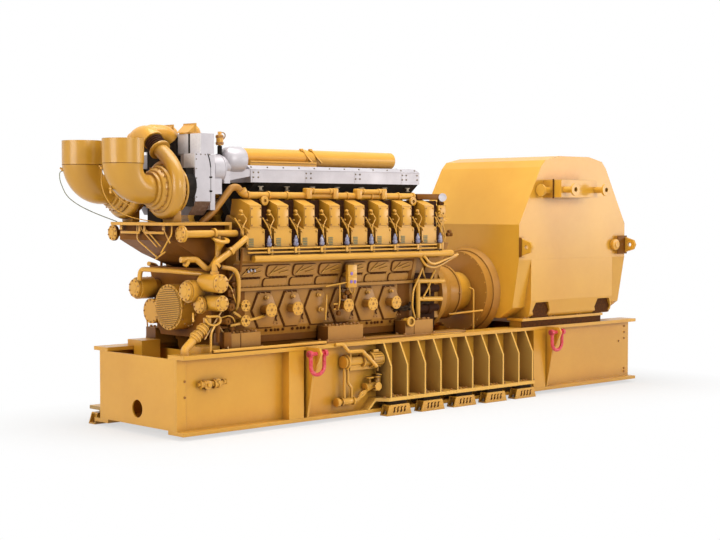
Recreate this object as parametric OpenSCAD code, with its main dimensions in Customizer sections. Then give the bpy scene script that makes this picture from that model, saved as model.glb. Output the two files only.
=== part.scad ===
// Diesel generator set: a V16 engine and a generator on one plate girder base.
// Millimetres, +Z up. The origin is on the floor at the middle of the anchor holes.
// +X runs from the engine's free end to the generator, -Y is the pump side.

/* [Base frame] */
// length of the base girders
base_l = 9268; // [8000:1:10500]
// middle of the base along X
base_cx = -320; // [-500:1:0]
// outer face of a girder web from the centre line
web_y = 840; // [700:1:950]
// height of the girders
girder_h = 1000; // [800:1:1200]
// thickness of a flange
flange_t = 50; // [30:1:70]
// width of a flange
flange_w = 320; // [240:1:400]
// underside of the girders above the floor
base_z = 50; // [30:1:100]
// radius of the round opening in the free end plate
end_hole_r = 115; // [60:1:200]

/* [Isolator feet] */
// distance between neighbouring feet
foot_pitch = 674; // [600:1:800]
// feet on each side
foot_n = 5; // [3:1:5]
// outer face of the outriggers from the centre line
outrig_y = 1140; // [1050:1:1250]
// half the distance between a foot's two ribs
rib_dx = 159; // [120:1:200]
// distance of an anchor hole from the middle of its foot
anchor_dx = 203; // [190:1:215]
// middle of the single foot at the free end, far side
end_foot_x = -4710; // [-4714:1:-4600]
// radius of an anchor hole
anchor_r = 14; // [8:0.5:20]

/* [Lifting shackles] */
// radius of a shackle's bow
bow_r = 118; // [110:1:124]
// thickness of the bow
bow_d = 52; // [44:1:54]

/* [Engine] */
// cylinder pitch along the crankshaft
pitch = 460; // [400:1:500]
// cylinders in each bank
cyl_n = 8; // [6:1:8]
// middle of the cylinder bank along X
bank_cx = -2065; // [-2300:1:-1900]
// height of the shaft line, over girders that reach up to 1050
shaft_z = 1590; // [1500:1:1700]
// outer face of the heads and covers
head_y = 840; // [780:1:900]
// width of a head along X
head_w = 300; // [240:1:360]
// width of a valve cover along X
cover_w = 190; // [150:1:240]

/* [Generator] */
// middle of the generator along X
gen_cx = 2597; // [2500:1:2700]
// length of the generator housing
gen_l = 2625; // [2400:1:2800]
// half the width of the generator housing
gen_y = 1050; // [900:1:1200]
// top of the generator housing
gen_top = 3686; // [3400:1:3900]

/* [Turbochargers] */
// turbocharger axis from the centre line
turbo_y = 455; // [400:1:520]
// turbocharger axis height
turbo_z = 3163; // [3000:1:3300]
// radius of the air elbows
elbow_r = 258; // [220:1:290]
// top of the air elbows
elbow_top = 3735; // [3600:1:3900]

/* [Hidden] */
$fn = 48;
paint = "#e0a848";
paint_dark = "#9c6a2c";
shield = "#d6d2d6";
lagging = "#2a2622";
steel = "#9a9590";
rubber_c = "#26241f";
shackle_c = "#d8455a";
x0 = base_cx - base_l / 2;
x1 = base_cx + base_l / 2;
deck_z = base_z + girder_h;
flange_in = web_y - 170;
flange_out = flange_in + flange_w;
foot_x = [for (i = [0 : foot_n - 1]) (i - (foot_n - 1) / 2) * foot_pitch];
cyl_x = [for (i = [0 : cyl_n - 1]) bank_cx + (i - (cyl_n - 1) / 2) * pitch];
bank_l = cyl_n * pitch;
bank_x0 = bank_cx - bank_l / 2;
bank_x1 = bank_cx + bank_l / 2;
block_x0 = bank_x0 - 60;
block_x1 = bank_x1 + 60;
side_x1 = block_x1 - 430;
sump_z = 560;
lug_x = [-2930, 2016];
// the machines are drawn for this deck and shaft line, and ride up and down with both
drawn_deck_z = 1050;
drawn_shaft_z = 1590;
lift = deck_z - drawn_deck_z + shaft_z - drawn_shaft_z;
header_z = 3046.3;
gen_x0 = gen_cx - gen_l / 2;
gen_x1 = gen_cx + gen_l / 2;

// helpers: ranges, outlines along an axis, both sides, bent pipes

module box(x, y, z)
  translate([x[0], y[0], z[0]]) cube([x[1] - x[0], y[1] - y[0], z[1] - z[0]]);

module xcyl(x, y, z, r)
  translate([x[0], y, z]) rotate([0, 90, 0]) cylinder(h = x[1] - x[0], r = r);

module ycyl(x, y, z, r)
  translate([x, y[1], z]) rotate([90, 0, 0]) cylinder(h = y[1] - y[0], r = r);

module zcyl(x, y, z, r)
  translate([x, y, z[0]]) cylinder(h = z[1] - z[0], r = r);

// outline in Y and Z, extruded along X
module yz(x, pts)
  translate([x[0], 0, 0]) rotate([90, 0, 90]) linear_extrude(x[1] - x[0]) polygon(pts);

// outline in X and Z, extruded along Y
module xz(y, pts)
  translate([0, y[1], 0]) rotate([90, 0, 0]) linear_extrude(y[1] - y[0]) polygon(pts);

module far() mirror([0, 1, 0]) children();

module both() {
  children();
  far() children();
}

module machine() translate([0, 0, lift]) children();

function unit(v) = v / norm(v);

// points of one bend at b between a and c
function bend(a, b, c, r, n) =
  let (u = unit(a - b), w = unit(c - b), g = acos(u * w), p = b + u * r / tan(g / 2),
       m = b + unit(u + w) * r / sin(g / 2), e = (p - m) / r)
  [for (i = [0 : n]) let (t = (180 - g) * i / n) m + r * (cos(t) * e - sin(t) * u)];

function route(p, r, n = 4) = [
  p[0],
  for (i = [1 : len(p) - 2]) each bend(p[i - 1], p[i], p[i + 1], r, n),
  p[len(p) - 1]
];

function carry(v, t) = unit(v - (v * t) * t);

function frames(t, a = []) =
  len(a) == len(t) ? a
  : frames(t, concat(a, [carry(len(a) > 0 ? a[len(a) - 1] : abs(t[0][2]) < 0.8 ? [0, 0, 1] : [1, 0, 0],
                               t[len(a)])]));

// round pipe along a bent route
module pipe(p, r, bend_r, sides = 12, steps = 4) {
  q = len(p) > 2 ? route(p, bend_r, steps) : p;
  n = len(q);
  t = [for (i = [0 : n - 1]) unit(q[min(i + 1, n - 1)] - q[max(i - 1, 0)])];
  f = frames(t);
  pts = [for (i = [0 : n - 1]) for (k = [0 : sides - 1])
    let (g = 360 * k / sides) q[i] + r * (cos(g) * f[i] + sin(g) * cross(t[i], f[i]))];
  faces = concat(
    [[for (k = [0 : sides - 1]) k]],
    [for (i = [0 : n - 2]) for (k = [0 : sides - 1])
      let (a = i * sides, b = a + sides, m = (k + 1) % sides) [a + k, b + k, b + m, a + m]],
    [[for (k = [0 : sides - 1]) n * sides - 1 - k]]);
  polyhedron(pts, faces, convexity = 6);
}

// base frame

module rail() {
  color(paint) {
    yz([x0, x1], [
      [-flange_out, base_z], [-flange_in, base_z], [-flange_in, base_z + flange_t],
      [-web_y + 30, base_z + flange_t], [-web_y + 30, deck_z - flange_t],
      [-flange_in, deck_z - flange_t], [-flange_in, deck_z], [-flange_out, deck_z],
      [-flange_out, deck_z - flange_t], [-web_y, deck_z - flange_t],
      [-web_y, base_z + flange_t], [-flange_out, base_z + flange_t]]);
    // doubler at the free end, box stiffeners
    box([x0, x0 + 145], [-web_y - 12, -web_y + 5], [base_z + flange_t - 5, deck_z - flange_t + 5]);
    for (x = [[-3234, -2980], [1713, 2001]])
      box(x, [-flange_out + 4, -web_y + 5], [base_z + flange_t - 5, deck_z - flange_t + 5]);
  }
}

module rail_near() rail();

module rail_far() far() rail();

module base_plates() {
  color(paint) {
    difference() {
      box([x0, x0 + 25], [-web_y + 30, web_y - 30], [base_z + flange_t, deck_z - flange_t]);
      xcyl([x0 - 1, x0 + 26], 0, 310, end_hole_r);
    }
    box([x1 - 25, x1], [-web_y + 30, web_y - 30], [base_z + flange_t, deck_z - flange_t]);
    // lifting lugs against the webs
    both() for (x = lug_x) difference() {
      yz([x, x + 32], [
        [-web_y, base_z + flange_t], [-flange_out, base_z + flange_t], [-1107, 680], [-1235, 880],
        [-1272, 965], [-1235, 1040], [-flange_out - 0.3, 1040],
        [-flange_out - 0.3, deck_z - flange_t], [-web_y, deck_z - flange_t]]);
      xcyl([x - 1, x + 33], -1185, 965, 26);
    }
  }
}

module cross_members() {
  color(paint_dark) {
    // plinths for the front equipment
    both() yz([-4540, -4245], [
      [-480, deck_z - 170], [-480, deck_z + 78], [-810, deck_z + 78], [-810, deck_z + 0.3],
      [-flange_in + 0.3, deck_z + 0.3], [-flange_in + 0.3, deck_z - 170]]);
    for (x = [-4100, 0, 1348, 2700])
      box([x - 12, x + 12], [-web_y + 30, web_y - 30], [base_z + flange_t, deck_z - flange_t]);
    for (x = [-2700, -1348])
      box([x - 12, x + 12], [-web_y + 30, web_y - 30], [base_z + flange_t, sump_z + lift]);
    box([x0 + 25, x1 - 25], [-web_y + 30, web_y - 30], [base_z + flange_t, base_z + flange_t + 20]);
  }
}

module outrigger() {
  color(paint) {
    // ledge over the feet, with cut corners
    translate([0, 0, 202]) linear_extrude(48) polygon([
      [foot_x[0] - 311, -flange_out + 2], [foot_x[0] - rib_dx - 40, -outrig_y],
      [foot_x[foot_n - 1] + rib_dx + 50, -outrig_y], [foot_x[foot_n - 1] + 240, -flange_out + 2],
      [foot_x[foot_n - 1] + 240, -web_y], [foot_x[0] - 311, -web_y]]);
    // ribs
    for (x = foot_x) for (s = [-1, 1])
      yz([x + s * rib_dx - 14, x + s * rib_dx + 14], [
        [-outrig_y, 240], [-web_y, 240], [-web_y, deck_z - flange_t],
        [-flange_out, deck_z - flange_t], [-outrig_y, 695]]);
    // sloped ends down to the bottom flange
    xz([-flange_out + 2, -web_y], [
      [foot_x[0] - 464, base_z + flange_t], [foot_x[0] - 424, base_z + flange_t],
      [foot_x[0] - 311, 202], [foot_x[0] - 311, 250]]);
    xz([-flange_out + 2, -web_y], [
      [foot_x[foot_n - 1] + 362, base_z + flange_t], [foot_x[foot_n - 1] + 322, base_z + flange_t],
      [foot_x[foot_n - 1] + 240, 202], [foot_x[foot_n - 1] + 240, 250]]);
  }
}

module outrigger_near() outrigger();

module outrigger_far() {
  far() outrigger();
  // short ledge over the single foot at the free end
  color(paint) far() {
    box([end_foot_x - 240, end_foot_x + 240], [-1110, -web_y - 12.3], [202, 250]);
    box([x0 + 145.3, end_foot_x + 240], [-web_y - 13, -web_y], [202, 250]);
  }
}

module isolator(anchored = true) {
  w = outrig_y - flange_out - 4;
  y = -outrig_y + w / 2;
  color(paint) {
    difference() {
      union() {
        // trapezoid front and back walls between a base plate and a cap
        for (d = [0, w - 16])
          xz([-outrig_y + d, -outrig_y + d + 16], [[-240, 0], [240, 0], [190, 150], [-190, 150]]);
        box([-240, 240], [-outrig_y + 8, -outrig_y + w - 8], [0, 20]);
        box([-190, 190], [-outrig_y + 8, -outrig_y + w - 8], [132, 150]);
        for (s = [-1, 1])
          box([s * 150 - 8, s * 150 + 8], [-outrig_y + 8, -outrig_y + w - 8], [18, 134]);
      }
      for (k = [-1.5, -0.5, 0.5, 1.5])
        xz([-outrig_y - 1, -outrig_y + 17], [
          [k * 68 - 22, 45], [k * 68 - 2, 45], [k * 68 + 20, 110], [k * 68 + 2, 110]]);
      if (anchored) for (s = [-1, 1]) zcyl(s * anchor_dx, y, [-1, 21], anchor_r);
    }
    for (s = [-1, 1]) zcyl(s * 100, y, [148, 202], 14);
  }
}

module isolators() {
  both() for (x = foot_x) translate([x, 0, 0]) isolator();
  far() translate([end_foot_x, 0, 0]) isolator(false);
}

module shackle() {
  color(shackle_c) {
    xcyl([16 - bow_r, 16 + bow_r], -1185, 965, 25.7);
    xcyl([16 - bow_r - 38, 16 - bow_r + 10], -1185, 965, 46);
    xcyl([16 + bow_r - 10, 16 + bow_r + 38], -1185, 965, 46);
    for (s = [-1, 1]) zcyl(16 + s * bow_r, -1185, [804, 965], bow_d / 2);
    translate([16, -1185, 805]) rotate([-90, 0, 0])
      rotate_extrude(angle = 180) translate([bow_r, 0]) circle(r = bow_d / 2);
  }
}

module lifting_shackles() both() for (x = lug_x) translate([x, 0, 0]) shackle();

module prelube_pump() {
  color(paint) {
    xcyl([-2243, -2190], -945, 785, 85);
    xcyl([-2191, -1890], -945, 785, 58);
    xcyl([-1891, -1740], -945, 785, 76);
    xcyl([-1741, -1540], -945, 785, 100);
    box([-2120, -1640], [-960, -web_y], [660, 740]);
  }
}

module base_piping() {
  color(paint) {
    pipe([[-4460, -950, deck_z + 24.3], [-2560, -950, deck_z + 24.3]], 24, 60);
    pipe([[-2440, -1014.3, deck_z - 10], [-2300, -1014.3, deck_z - 10], [-2210, -1030, 930],
          [-1980, -1060, 930], [-1720, -1069.3, 700]], 24, 60);
    pipe([[-2215, -945, 700], [-2215, -945, 260]], 20, 50);
    pipe([[-2150, -945, 727], [-2150, -945, 500], [-2080, -945, 420], [-2080, -945, 240]], 20, 50);
    xcyl([-2330, -2010], -945, 245, 36);
    xcyl([-2370, -2320], -945, 245, 60);
    pipe([[-2030, -945, 245], [-1960, -945, 245], [-1900, -945, 330], [-1640, -945, 420]], 24, 50);
  }
}

// engine

module crankcase() machine() {
  color(paint) {
    // V block with a deck for each bank
    yz([block_x0, block_x1], [
      [-460, 1200], [-460, 2150], [-745, 2160], [-800, 2200], [-800, 2370], [-430, 2370],
      [-300, 2600], [-230, 2600], [0, 2250], [230, 2600], [300, 2600], [430, 2370],
      [800, 2370], [800, 2200], [745, 2160], [460, 2150], [460, 1200]]);
    // side walls, shorter than the decks to leave room for the starting gear
    both() {
      yz([block_x0, side_x1], [
        [-600, 1200], [-640, 1320], [-640, 1790], [-660, 1830], [-745, 2160], [-700, 2190],
        [-400, 2190], [-400, 1200]]);
      // ledge above the doors
      box([block_x0, side_x1], [-690, -639], [1800, 1840]);
    }
  }
}

module crankcase_doors() machine() {
  color(paint) both() for (i = [0 : cyl_n - 2]) {
    x = cyl_x[i];
    xz([-664, -640], [
      [x - 190, 1310], [x + 190, 1310], [x + 222, 1560], [x + 190, 1790],
      [x - 190, 1790], [x - 222, 1560]]);
    ycyl(x, [-715, -664], 1540, 62);
  }
}

module oil_sump() machine() {
  color(paint_dark)
    yz([block_x0 + 60, block_x1 - 40], [
      [-420, sump_z], [-560, 1110], [-600, 1110], [-600, 1200], [600, 1200], [600, 1110],
      [560, 1110], [420, sump_z]]);
}

module engine_feet() {
  color(paint) both() for (x = [[-4210, -3610], [-2430, -1780], [-950, -390]]) {
    box([x[0] - 30, x[1] + 30], [-885, -640], [deck_z, deck_z + 25]);
    box(x, [-855, -640], [deck_z + 25, 1275 + lift]);
  }
}

module heads() machine() {
  color(paint) for (x = cyl_x)
    yz([x - head_w / 2, x + head_w / 2], [
      [-head_y, 2370], [-head_y, 2600], [-430, 2790], [-340, 2600], [-435, 2370]]);
}

module heads_near() heads();

module heads_far() far() heads();

module valve_covers() machine() {
  color(paint) for (x = cyl_x) {
    yz([x - cover_w / 2, x + cover_w / 2], [
      [-head_y, 2600], [-head_y, 2918], [-610, 3000], [-470, 3000], [-430, 2790]]);
  }
}

module valve_covers_near() valve_covers();

module valve_covers_far() far() valve_covers();

module air_header() machine() {
  color(paint) {
    xcyl([bank_x0 + 190, bank_x1 + 245], -600, header_z, 46);
    // bridges beside the header
    for (x = [-2650, -1720]) {
      xcyl([x, x + 650], -640, 3108, 28);
      for (d = [0, 560]) box([x + d, x + d + 90], [-670, -580], [3001, 3134]);
    }
    // vent flanges
    for (x = [-3394, -624]) difference() {
      union() {
        ycyl(x, [-690, -650], 2975, 60);
        box([x - 20, x + 20], [-660, -600], [2975, 3050]);
      }
      ycyl(x, [-691, -640], 2975, 22);
    }
    pipe([[bank_x0 + 210, -600, header_z], [bank_x0 + 130, -620, header_z + 70], [bank_x0 + 10, -680, header_z + 50],
          [bank_x0 - 150, -790, 2860], [bank_x0 - 220, -790, 2720]], 48, 90);
  }
}

module air_header_near() air_header();

module air_header_far() far() air_header();

module water_pipes() machine() {
  color(paint) both() {
    xcyl([-3740, -130], -870, 2225, 46);
    pipe([[-130, -870, 2225], [-30, -870, 2225], [20, -840, 2225], [20, -700, 2225]], 46, 70);
    for (x = cyl_x) box([x - 30, x + 30], [-850, -800], [2190, 2260]);
  }
}

module fuel_rails() machine() {
  color(paint) both() {
    xcyl([-3850, -350], -890, 2355, 12);
    xcyl([-3850, -350], -890, 2305, 12);
    for (x = cyl_x) box([x + 150, x + 190], [-910, -800], [2290, 2368]);
  }
}

module exhaust_manifold() machine() {
  color(lagging)
    yz([-3400, -330], [
      [-490, 3220], [-360, 3110], [-200, 3010], [200, 3010], [360, 3110], [490, 3220]]);
    // branch from each head
    both() for (x = cyl_x)
      yz([x - 55, x + 55], [[-412, 2752], [-358, 2638], [-110, 3011], [-230, 3011]]);
}

module exhaust_shield() machine() {
  color(shield) {
    yz([-3470, -300], [
      [-490, 3220], [-490, 3392], [-400, 3446], [400, 3446], [490, 3392], [490, 3220]]);
  }
}

module vent_tube() machine() {
  color(paint) {
    // domed caps on the turbine casing, each with a rib and a sloped gusset
    both() {
      zcyl(-4270, -245, [3832.3, 3850], 145);
      intersection() {
        translate([-4270, -245, 3850]) scale([1, 1, 0.9]) sphere(r = 130);
        box([-4280, -4100], [-400, -100], [3849, 3975]);
      }
      xz([-370, -120], [[-4400, 3850], [-4280, 3960], [-4275, 3960], [-4275, 3849], [-4400, 3849]]);
      box([-4288, -4268], [-375, -115], [3849, 3972]);
    }
    // vent valves on the turbine inlets
    both() {
      zcyl(-3930, -420, [3560.3, 3700], 20);
      zcyl(-3930, -420, [3695, 3830], 46);
      zcyl(-3930, -420, [3825, 3872], 26);
    }
    xcyl([-3300, -372], 60, 3575, 120);
    xcyl([-2120, -2060], 60, 3575, 128);
    box([-3200, -2010], [-150, 60], [3446, 3520]);
  }
}

module turbine_shields() machine() {
  color(shield) {
    both() {
      // casing with a sloped foot, cover strip, turbine inlet and its pipe to the manifold
      yz([-4490, -4240], [
        [-636, 2966], [-636, 3575], [-330, 3575], [-330, 2790], [-480, 2790]]);
      box([-4241, -4165], [-622, -400], [2855, 3560]);
      xcyl([-4166, -3965], -420, 3385, 190);
      box([-4150, -4030], [-590, -400], [3060, 3260]);
      xcyl([-3966, -3830], -420, 3440, 120);
      xcyl([-3831, -3660], -420, 3513, 152);
      yz([-3966, -3870], [[-560, 3200], [-560, 3360], [-300, 3360], [-300, 3200]]);
      xz([-480, -330], [[-3871, 3230], [-3871, 3350], [-3470, 3392], [-3470, 3300]]);
      // upper casing
      box([-4370, -4160], [-600, -360], [3574, 3832]);
    }
    box([-4266, -4160], [-361, 361], [3560, 3832]);
    both() box([-4370, -4160], [-361, -112], [3560, 3832]);
  }
}

module turbine_lagging() machine() {
  color(lagging) {
    both() {
      xcyl([-4640, -4490], -turbo_y, turbo_z, 215);
      box([-4610, -4490], [-610, -300], [2900, 3388]);
    }
    // lagged duct under the arch
    box([-4670, -4491], [-150, 150], [2700, 3610]);
    box([-4800, -4500], [-148, 148], [3600, 3687.6]);
    pipe([[-4599.7, 0, 3835], [-4377, 0, 3835], [-4377, 0, 3440]], 108, 190, 16, 5);
  }
}

module turbo() machine() {
  color(paint) {
    // compressor housing with its scroll
    xcyl([-5040, -4980], -turbo_y, turbo_z, 300);
    xcyl([-4982, -4930], -turbo_y, turbo_z, 262);
    translate([-4932, -turbo_y, turbo_z]) rotate([0, 90, 0]) cylinder(h = 50, r1 = 290, r2 = 345);
    translate([-4830, -turbo_y, turbo_z]) rotate([0, 90, 0])
      rotate_extrude() translate([310, 0]) circle(r = 118);
    xcyl([-4895, -4720], -turbo_y, turbo_z, 285);
    // scroll outlet, up and inward to the clamp ring
    pipe([[-4830, -turbo_y - 309, turbo_z], [-4830, -turbo_y - 309, turbo_z + 197],
          [-4800, -290, turbo_z + 425], [-4800, -290, turbo_z + 502]], 103, 110, 16, 3);
    zcyl(-4800, -290, [turbo_z + 495, turbo_z + 515], 138);
    // bearing housing and back flange
    xcyl([-4721, -4640], -turbo_y, turbo_z, 200);
    xcyl([-4700, -4672], -turbo_y, turbo_z, 300);
    // foot
    box([-4780, -4660], [-turbo_y - 120, -turbo_y + 120], [2700, turbo_z - 120]);
  }
}

module turbo_near() turbo();

module turbo_far() far() turbo();

module air_elbow() machine() {
  color(paint) {
    difference() {
      zcyl(-5455, -turbo_y, [3415, elbow_top], elbow_r);
      zcyl(-5455, -turbo_y, [3435, elbow_top + 1], elbow_r - 12);
    }
    translate([-5200, -turbo_y, 3415]) rotate([90, 0, 0])
      rotate_extrude(angle = 90) translate([-255, 0]) circle(r = 224);
    xcyl([-5200, -5040.3], -turbo_y, turbo_z - 3, 222);
  }
}

module air_elbow_near() air_elbow();

module air_elbow_far() far() air_elbow();

module air_ducts() machine() {
  color(paint) {
    // cross pipe between the two outlets, with the branch that turns down to the cooler
    pipe([[-4800, -290, turbo_z + 515], [-4800, -290, 3800], [-4800, 290, 3800],
          [-4800, 290, turbo_z + 515]], 112, 118, 16, 5);
    xcyl([-4800, -4600], 0, 3835, 108);
  }
}

module turbo_bracket() machine() {
  color(paint) {
    box([-4950, -3955], [-700, 580], [2660, 2700]);
    box([-3995, -3955], [-700, -600], [2530, 2660]);
  }
}

module aftercooler() machine() {
  color(paint_dark)
    xz([-580, 580], [
      [-4810, 2660], [-4810, 2470], [-4460, 2280], [-4090, 2130], [-3966, 2100], [-3966, 2660]]);
  color(paint) far() cooler_line();
}

// flanged line along the cooler's flank
module cooler_line() {
  xcyl([-4800, -4770], -750, 2555, 105);
  xcyl([-4770, -3825], -750, 2555, 45);
  xcyl([-4300, -4270], -750, 2555, 70);
}

module front_housing() machine() {
  color(paint_dark)
    yz([-4230, block_x0], [
      [-480, 1200], [-620, 1400], [-640, 1800], [-740, 2100], [740, 2100], [640, 1800],
      [620, 1400], [480, 1200]]);
}

module damper_cover() machine() {
  color(paint) {
    xcyl([-4454, -4230], 0, drawn_shaft_z, 298);
    xcyl([-4462, -4453], 0, drawn_shaft_z, 268);
    xcyl([-4440, -4230], 420, 1520, 165);
  }
}

module water_pumps() machine() {
  color(paint) {
    // one pump each side
    both() {
      xcyl([-4590, -4560], -560, 1822, 125);
      xcyl([-4560, -4330], -560, 1822, 145);
      xcyl([-4330, -4230], -560, 1822, 110);
    }
    // lube oil pump, thermostat and filter ends on the near side
    xcyl([-4480, -4450], -700, 1655, 112);
    xcyl([-4450, -4230], -700, 1655, 85);
    ycyl(-4360, [-980, -640], 1930, 120);
    ycyl(-4340, [-980, -640], 1680, 103);
  }
}

module front_pipes() machine() {
  color(paint) {
    pipe([[-4360, -860, 2050], [-4360, -860, 2180], [-4100, -860, 2330], [-3966, -870, 2420],
          [-3860, -882, 2500]], 40, 60);
    pipe([[-4700, -600, 2230], [-4480, -640, 2230], [-4340, -720, 2080], [-4220, -750, 2260],
          [-4220, -750, 2540]], 38, 60);
    cooler_line();
    pipe([[-4480, -860, 1500], [-4480, -860, 1420], [x0 + 124, -860, 1120],
          [x0 + 124, -860, deck_z - lift]], 52, 60);
  }
}

module flywheel_housing() machine() {
  color(paint) {
    yz([block_x1, 150], [
      [-440, 1250], [-440, 1900], [-560, 2150], [-660, 2370], [660, 2370], [560, 2150],
      [440, 1900], [440, 1250]]);
    xcyl([149, 240], 0, drawn_shaft_z, 540);
    translate([239, 0, drawn_shaft_z]) rotate([0, 90, 0]) cylinder(h = 221, r1 = 500, r2 = 420);
    xcyl([459, 700], 0, drawn_shaft_z, 400);
    xcyl([664, 701], 0, drawn_shaft_z, 418);
  }
}

module coupling() machine() {
  color(paint) {
    xcyl([701, 1040], 0, drawn_shaft_z, 300);
    xcyl([740, 790], 0, drawn_shaft_z, 330);
  }
}

module instruments() machine() {
  color(paint) {
    // control box on the block
    yz([-2060, -1900], [[-900, 1840], [-900, 2120], [-734.7, 2120], [-662.6, 1840]]);
    // gauge on its post at the rear
    box([20, 140], [-660, -550], [2370, 3000]);
    ycyl(80, [-690, -650], 3050, 70);
    box([60, 100], [-655, -600], [2990, 3050]);
  }
}

// generator

module gen_outline(y) xz(y, [
  [gen_x0, 1060], [gen_x0, 2630], [gen_x0 + 503, 3508], [gen_x0 + 610, 3617],
  [gen_x0 + 935, gen_top], [gen_x1 - 940, gen_top], [gen_x1 - 610, 3617],
  [gen_x1 - 504, 3508], [gen_x1, 2630], [gen_x1, 1060]]);

// lifting eye that stands out from the side plate, a pad behind it
module generator_lug(x, inward) {
  difference() {
    yz([x, x + 40], [
      [-gen_y + 5, 2130], [-gen_y - 70, 2170], [-gen_y - 210, 2210], [-gen_y - 245, 2285],
      [-gen_y - 210, 2360], [-gen_y - 70, 2400], [-gen_y + 5, 2440]]);
    xcyl([x - 1, x + 41], -gen_y - 135, 2285, 34);
  }
  box([x + min(0, inward), x + 40 + max(0, inward)], [-gen_y - 45, -gen_y + 5], [2140, 2430]);
}

module generator_housing() machine() {
  color(paint) {
    intersection() {
      gen_outline([-gen_y, gen_y]);
      yz([gen_x0 - 1, gen_x1 + 1], [
        [-670, 1191], [-920, 1360], [-gen_y, 2090], [-gen_y, 3700],
        [gen_y, 3700], [gen_y, 2090], [920, 1360], [670, 1191]]);
    }
    both() difference() {
      yz([gen_x0 + 282, gen_x1 - 325], [
        [-gen_y, 1980], [-gen_y, 1455], [-gen_y + 30, 1250], [-gen_y + 90, 1191],
        [-670, 1191], [-700, 1980]]);
      for (x = [gen_x0 + 342, gen_x0 + 1873])
        xz([-gen_y - 1, -gen_y + 60], [
          [x, 1300], [x + 60, 1195], [x + 358, 1195], [x + 418, 1300], [x + 358, 1430],
          [x + 60, 1430]]);
    }
    both() {
      generator_lug(gen_x0 + 8, 60);
      generator_lug(gen_x1 - 48, -200);
      ycyl(gen_x1 - 300, [-gen_y - 60, -gen_y + 5], 2290, 85);
    }
  }
}

module generator_feet() {
  color(paint) both() {
    box([1430, 3410], [-1000, -680], [1150 + lift, 1190 + lift]);
    for (x = [1480, 2100, 2730, 3240]) box([x, x + 130], [-960, -700], [deck_z, 1150 + lift]);
  }
}

module drive_end_bell() machine() {
  color(paint) {
    xcyl([1040, gen_x0], 0, drawn_shaft_z, 620);
    translate([1180, 0, drawn_shaft_z]) rotate([0, 90, 0]) cylinder(h = gen_x0 - 1180, r1 = 640, r2 = 680);
  }
}

module cooler_box() machine() {
  color(paint) {
    box([1850, 2730], [-1400, -gen_y], [3040, 3310]);
    box([1842, 2738], [-1262, -1246], [3032, 3318]);
    xcyl([1650, 1680], -1160, 3153, 90);
    xcyl([1680, 1850], -1160, 3153, 50);
    for (x = [1925, 2680]) difference() {
      union() {
        ycyl(x, [-1600, -1400], 3160, 48);
        ycyl(x, [-1620, -1590], 3160, 95);
      }
      ycyl(x, [-1621, -1500], 3160, 36);
    }
  }
}

rail_near();
rail_far();
base_plates();
cross_members();
outrigger_near();
outrigger_far();
isolators();
lifting_shackles();
prelube_pump();
base_piping();
crankcase();
crankcase_doors();
oil_sump();
engine_feet();
heads_near();
heads_far();
valve_covers_near();
valve_covers_far();
air_header_near();
air_header_far();
water_pipes();
fuel_rails();
exhaust_manifold();
exhaust_shield();
vent_tube();
turbine_shields();
turbine_lagging();
turbo_near();
turbo_far();
air_elbow_near();
air_elbow_far();
air_ducts();
turbo_bracket();
aftercooler();
front_housing();
damper_cover();
water_pumps();
front_pipes();
flywheel_housing();
coupling();
instruments();
generator_housing();
generator_feet();
drive_end_bell();
cooler_box();
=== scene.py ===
"""Looks of the diesel generator set: finishes, fine parts and pipework, camera and studio."""

from math import atan2, cos, pi, radians, sin

import bpy
from mathutils import Matrix, Vector


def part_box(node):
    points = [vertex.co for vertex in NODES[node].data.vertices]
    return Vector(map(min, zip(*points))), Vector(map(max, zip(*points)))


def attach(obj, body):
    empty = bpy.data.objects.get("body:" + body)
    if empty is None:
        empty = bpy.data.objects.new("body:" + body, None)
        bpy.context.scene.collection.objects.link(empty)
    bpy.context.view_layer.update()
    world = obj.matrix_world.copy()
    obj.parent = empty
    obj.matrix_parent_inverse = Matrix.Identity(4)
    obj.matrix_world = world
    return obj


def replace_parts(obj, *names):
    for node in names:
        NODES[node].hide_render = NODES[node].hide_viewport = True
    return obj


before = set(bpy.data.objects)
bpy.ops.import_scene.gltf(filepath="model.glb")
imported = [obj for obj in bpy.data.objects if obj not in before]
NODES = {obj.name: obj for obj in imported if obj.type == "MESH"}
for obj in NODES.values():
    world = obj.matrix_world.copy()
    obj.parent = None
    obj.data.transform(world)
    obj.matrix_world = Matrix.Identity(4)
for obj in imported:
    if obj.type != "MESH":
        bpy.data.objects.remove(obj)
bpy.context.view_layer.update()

# ---------------------------------------------------------------- camera

camera = bpy.data.objects.new("camera", bpy.data.cameras.new("camera"))
bpy.context.scene.collection.objects.link(camera)
bpy.context.scene.camera = camera
camera.location = (-15.8096, -15.7209, 2.8854)
camera.rotation_euler = (radians(90 - 2.412), 0, radians(-43.226))
camera.data.lens = 74.02
camera.data.sensor_width = 36
camera.data.clip_end = 200
bpy.context.scene.view_settings.view_transform = "Standard"

# ---------------------------------------------------------------- shader writing


class Signal:
    """One output of a shader node; sums and products of signals add Math nodes."""

    def __init__(self, finish, socket):
        self.finish = finish
        self.socket = socket

    def math(self, operation, *values):
        """Math node on these values, which may be signals or numbers."""
        return self.finish.node("ShaderNodeMath", {"operation": operation}, dict(enumerate(values)))

    def __add__(self, other):
        return self.math("ADD", self, other)

    def __radd__(self, other):
        return self.math("ADD", other, self)

    def __sub__(self, other):
        return self.math("SUBTRACT", self, other)

    def __rsub__(self, other):
        return self.math("SUBTRACT", other, self)

    def __mul__(self, other):
        return self.math("MULTIPLY", self, other)

    def __rmul__(self, other):
        return self.math("MULTIPLY", other, self)

    def math_of(self, operation):
        """Math node on this signal alone."""
        return self.math(operation, self)

    def least(self, other):
        return self.math("MINIMUM", self, other)

    def most(self, other):
        return self.math("MAXIMUM", self, other)


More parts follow.
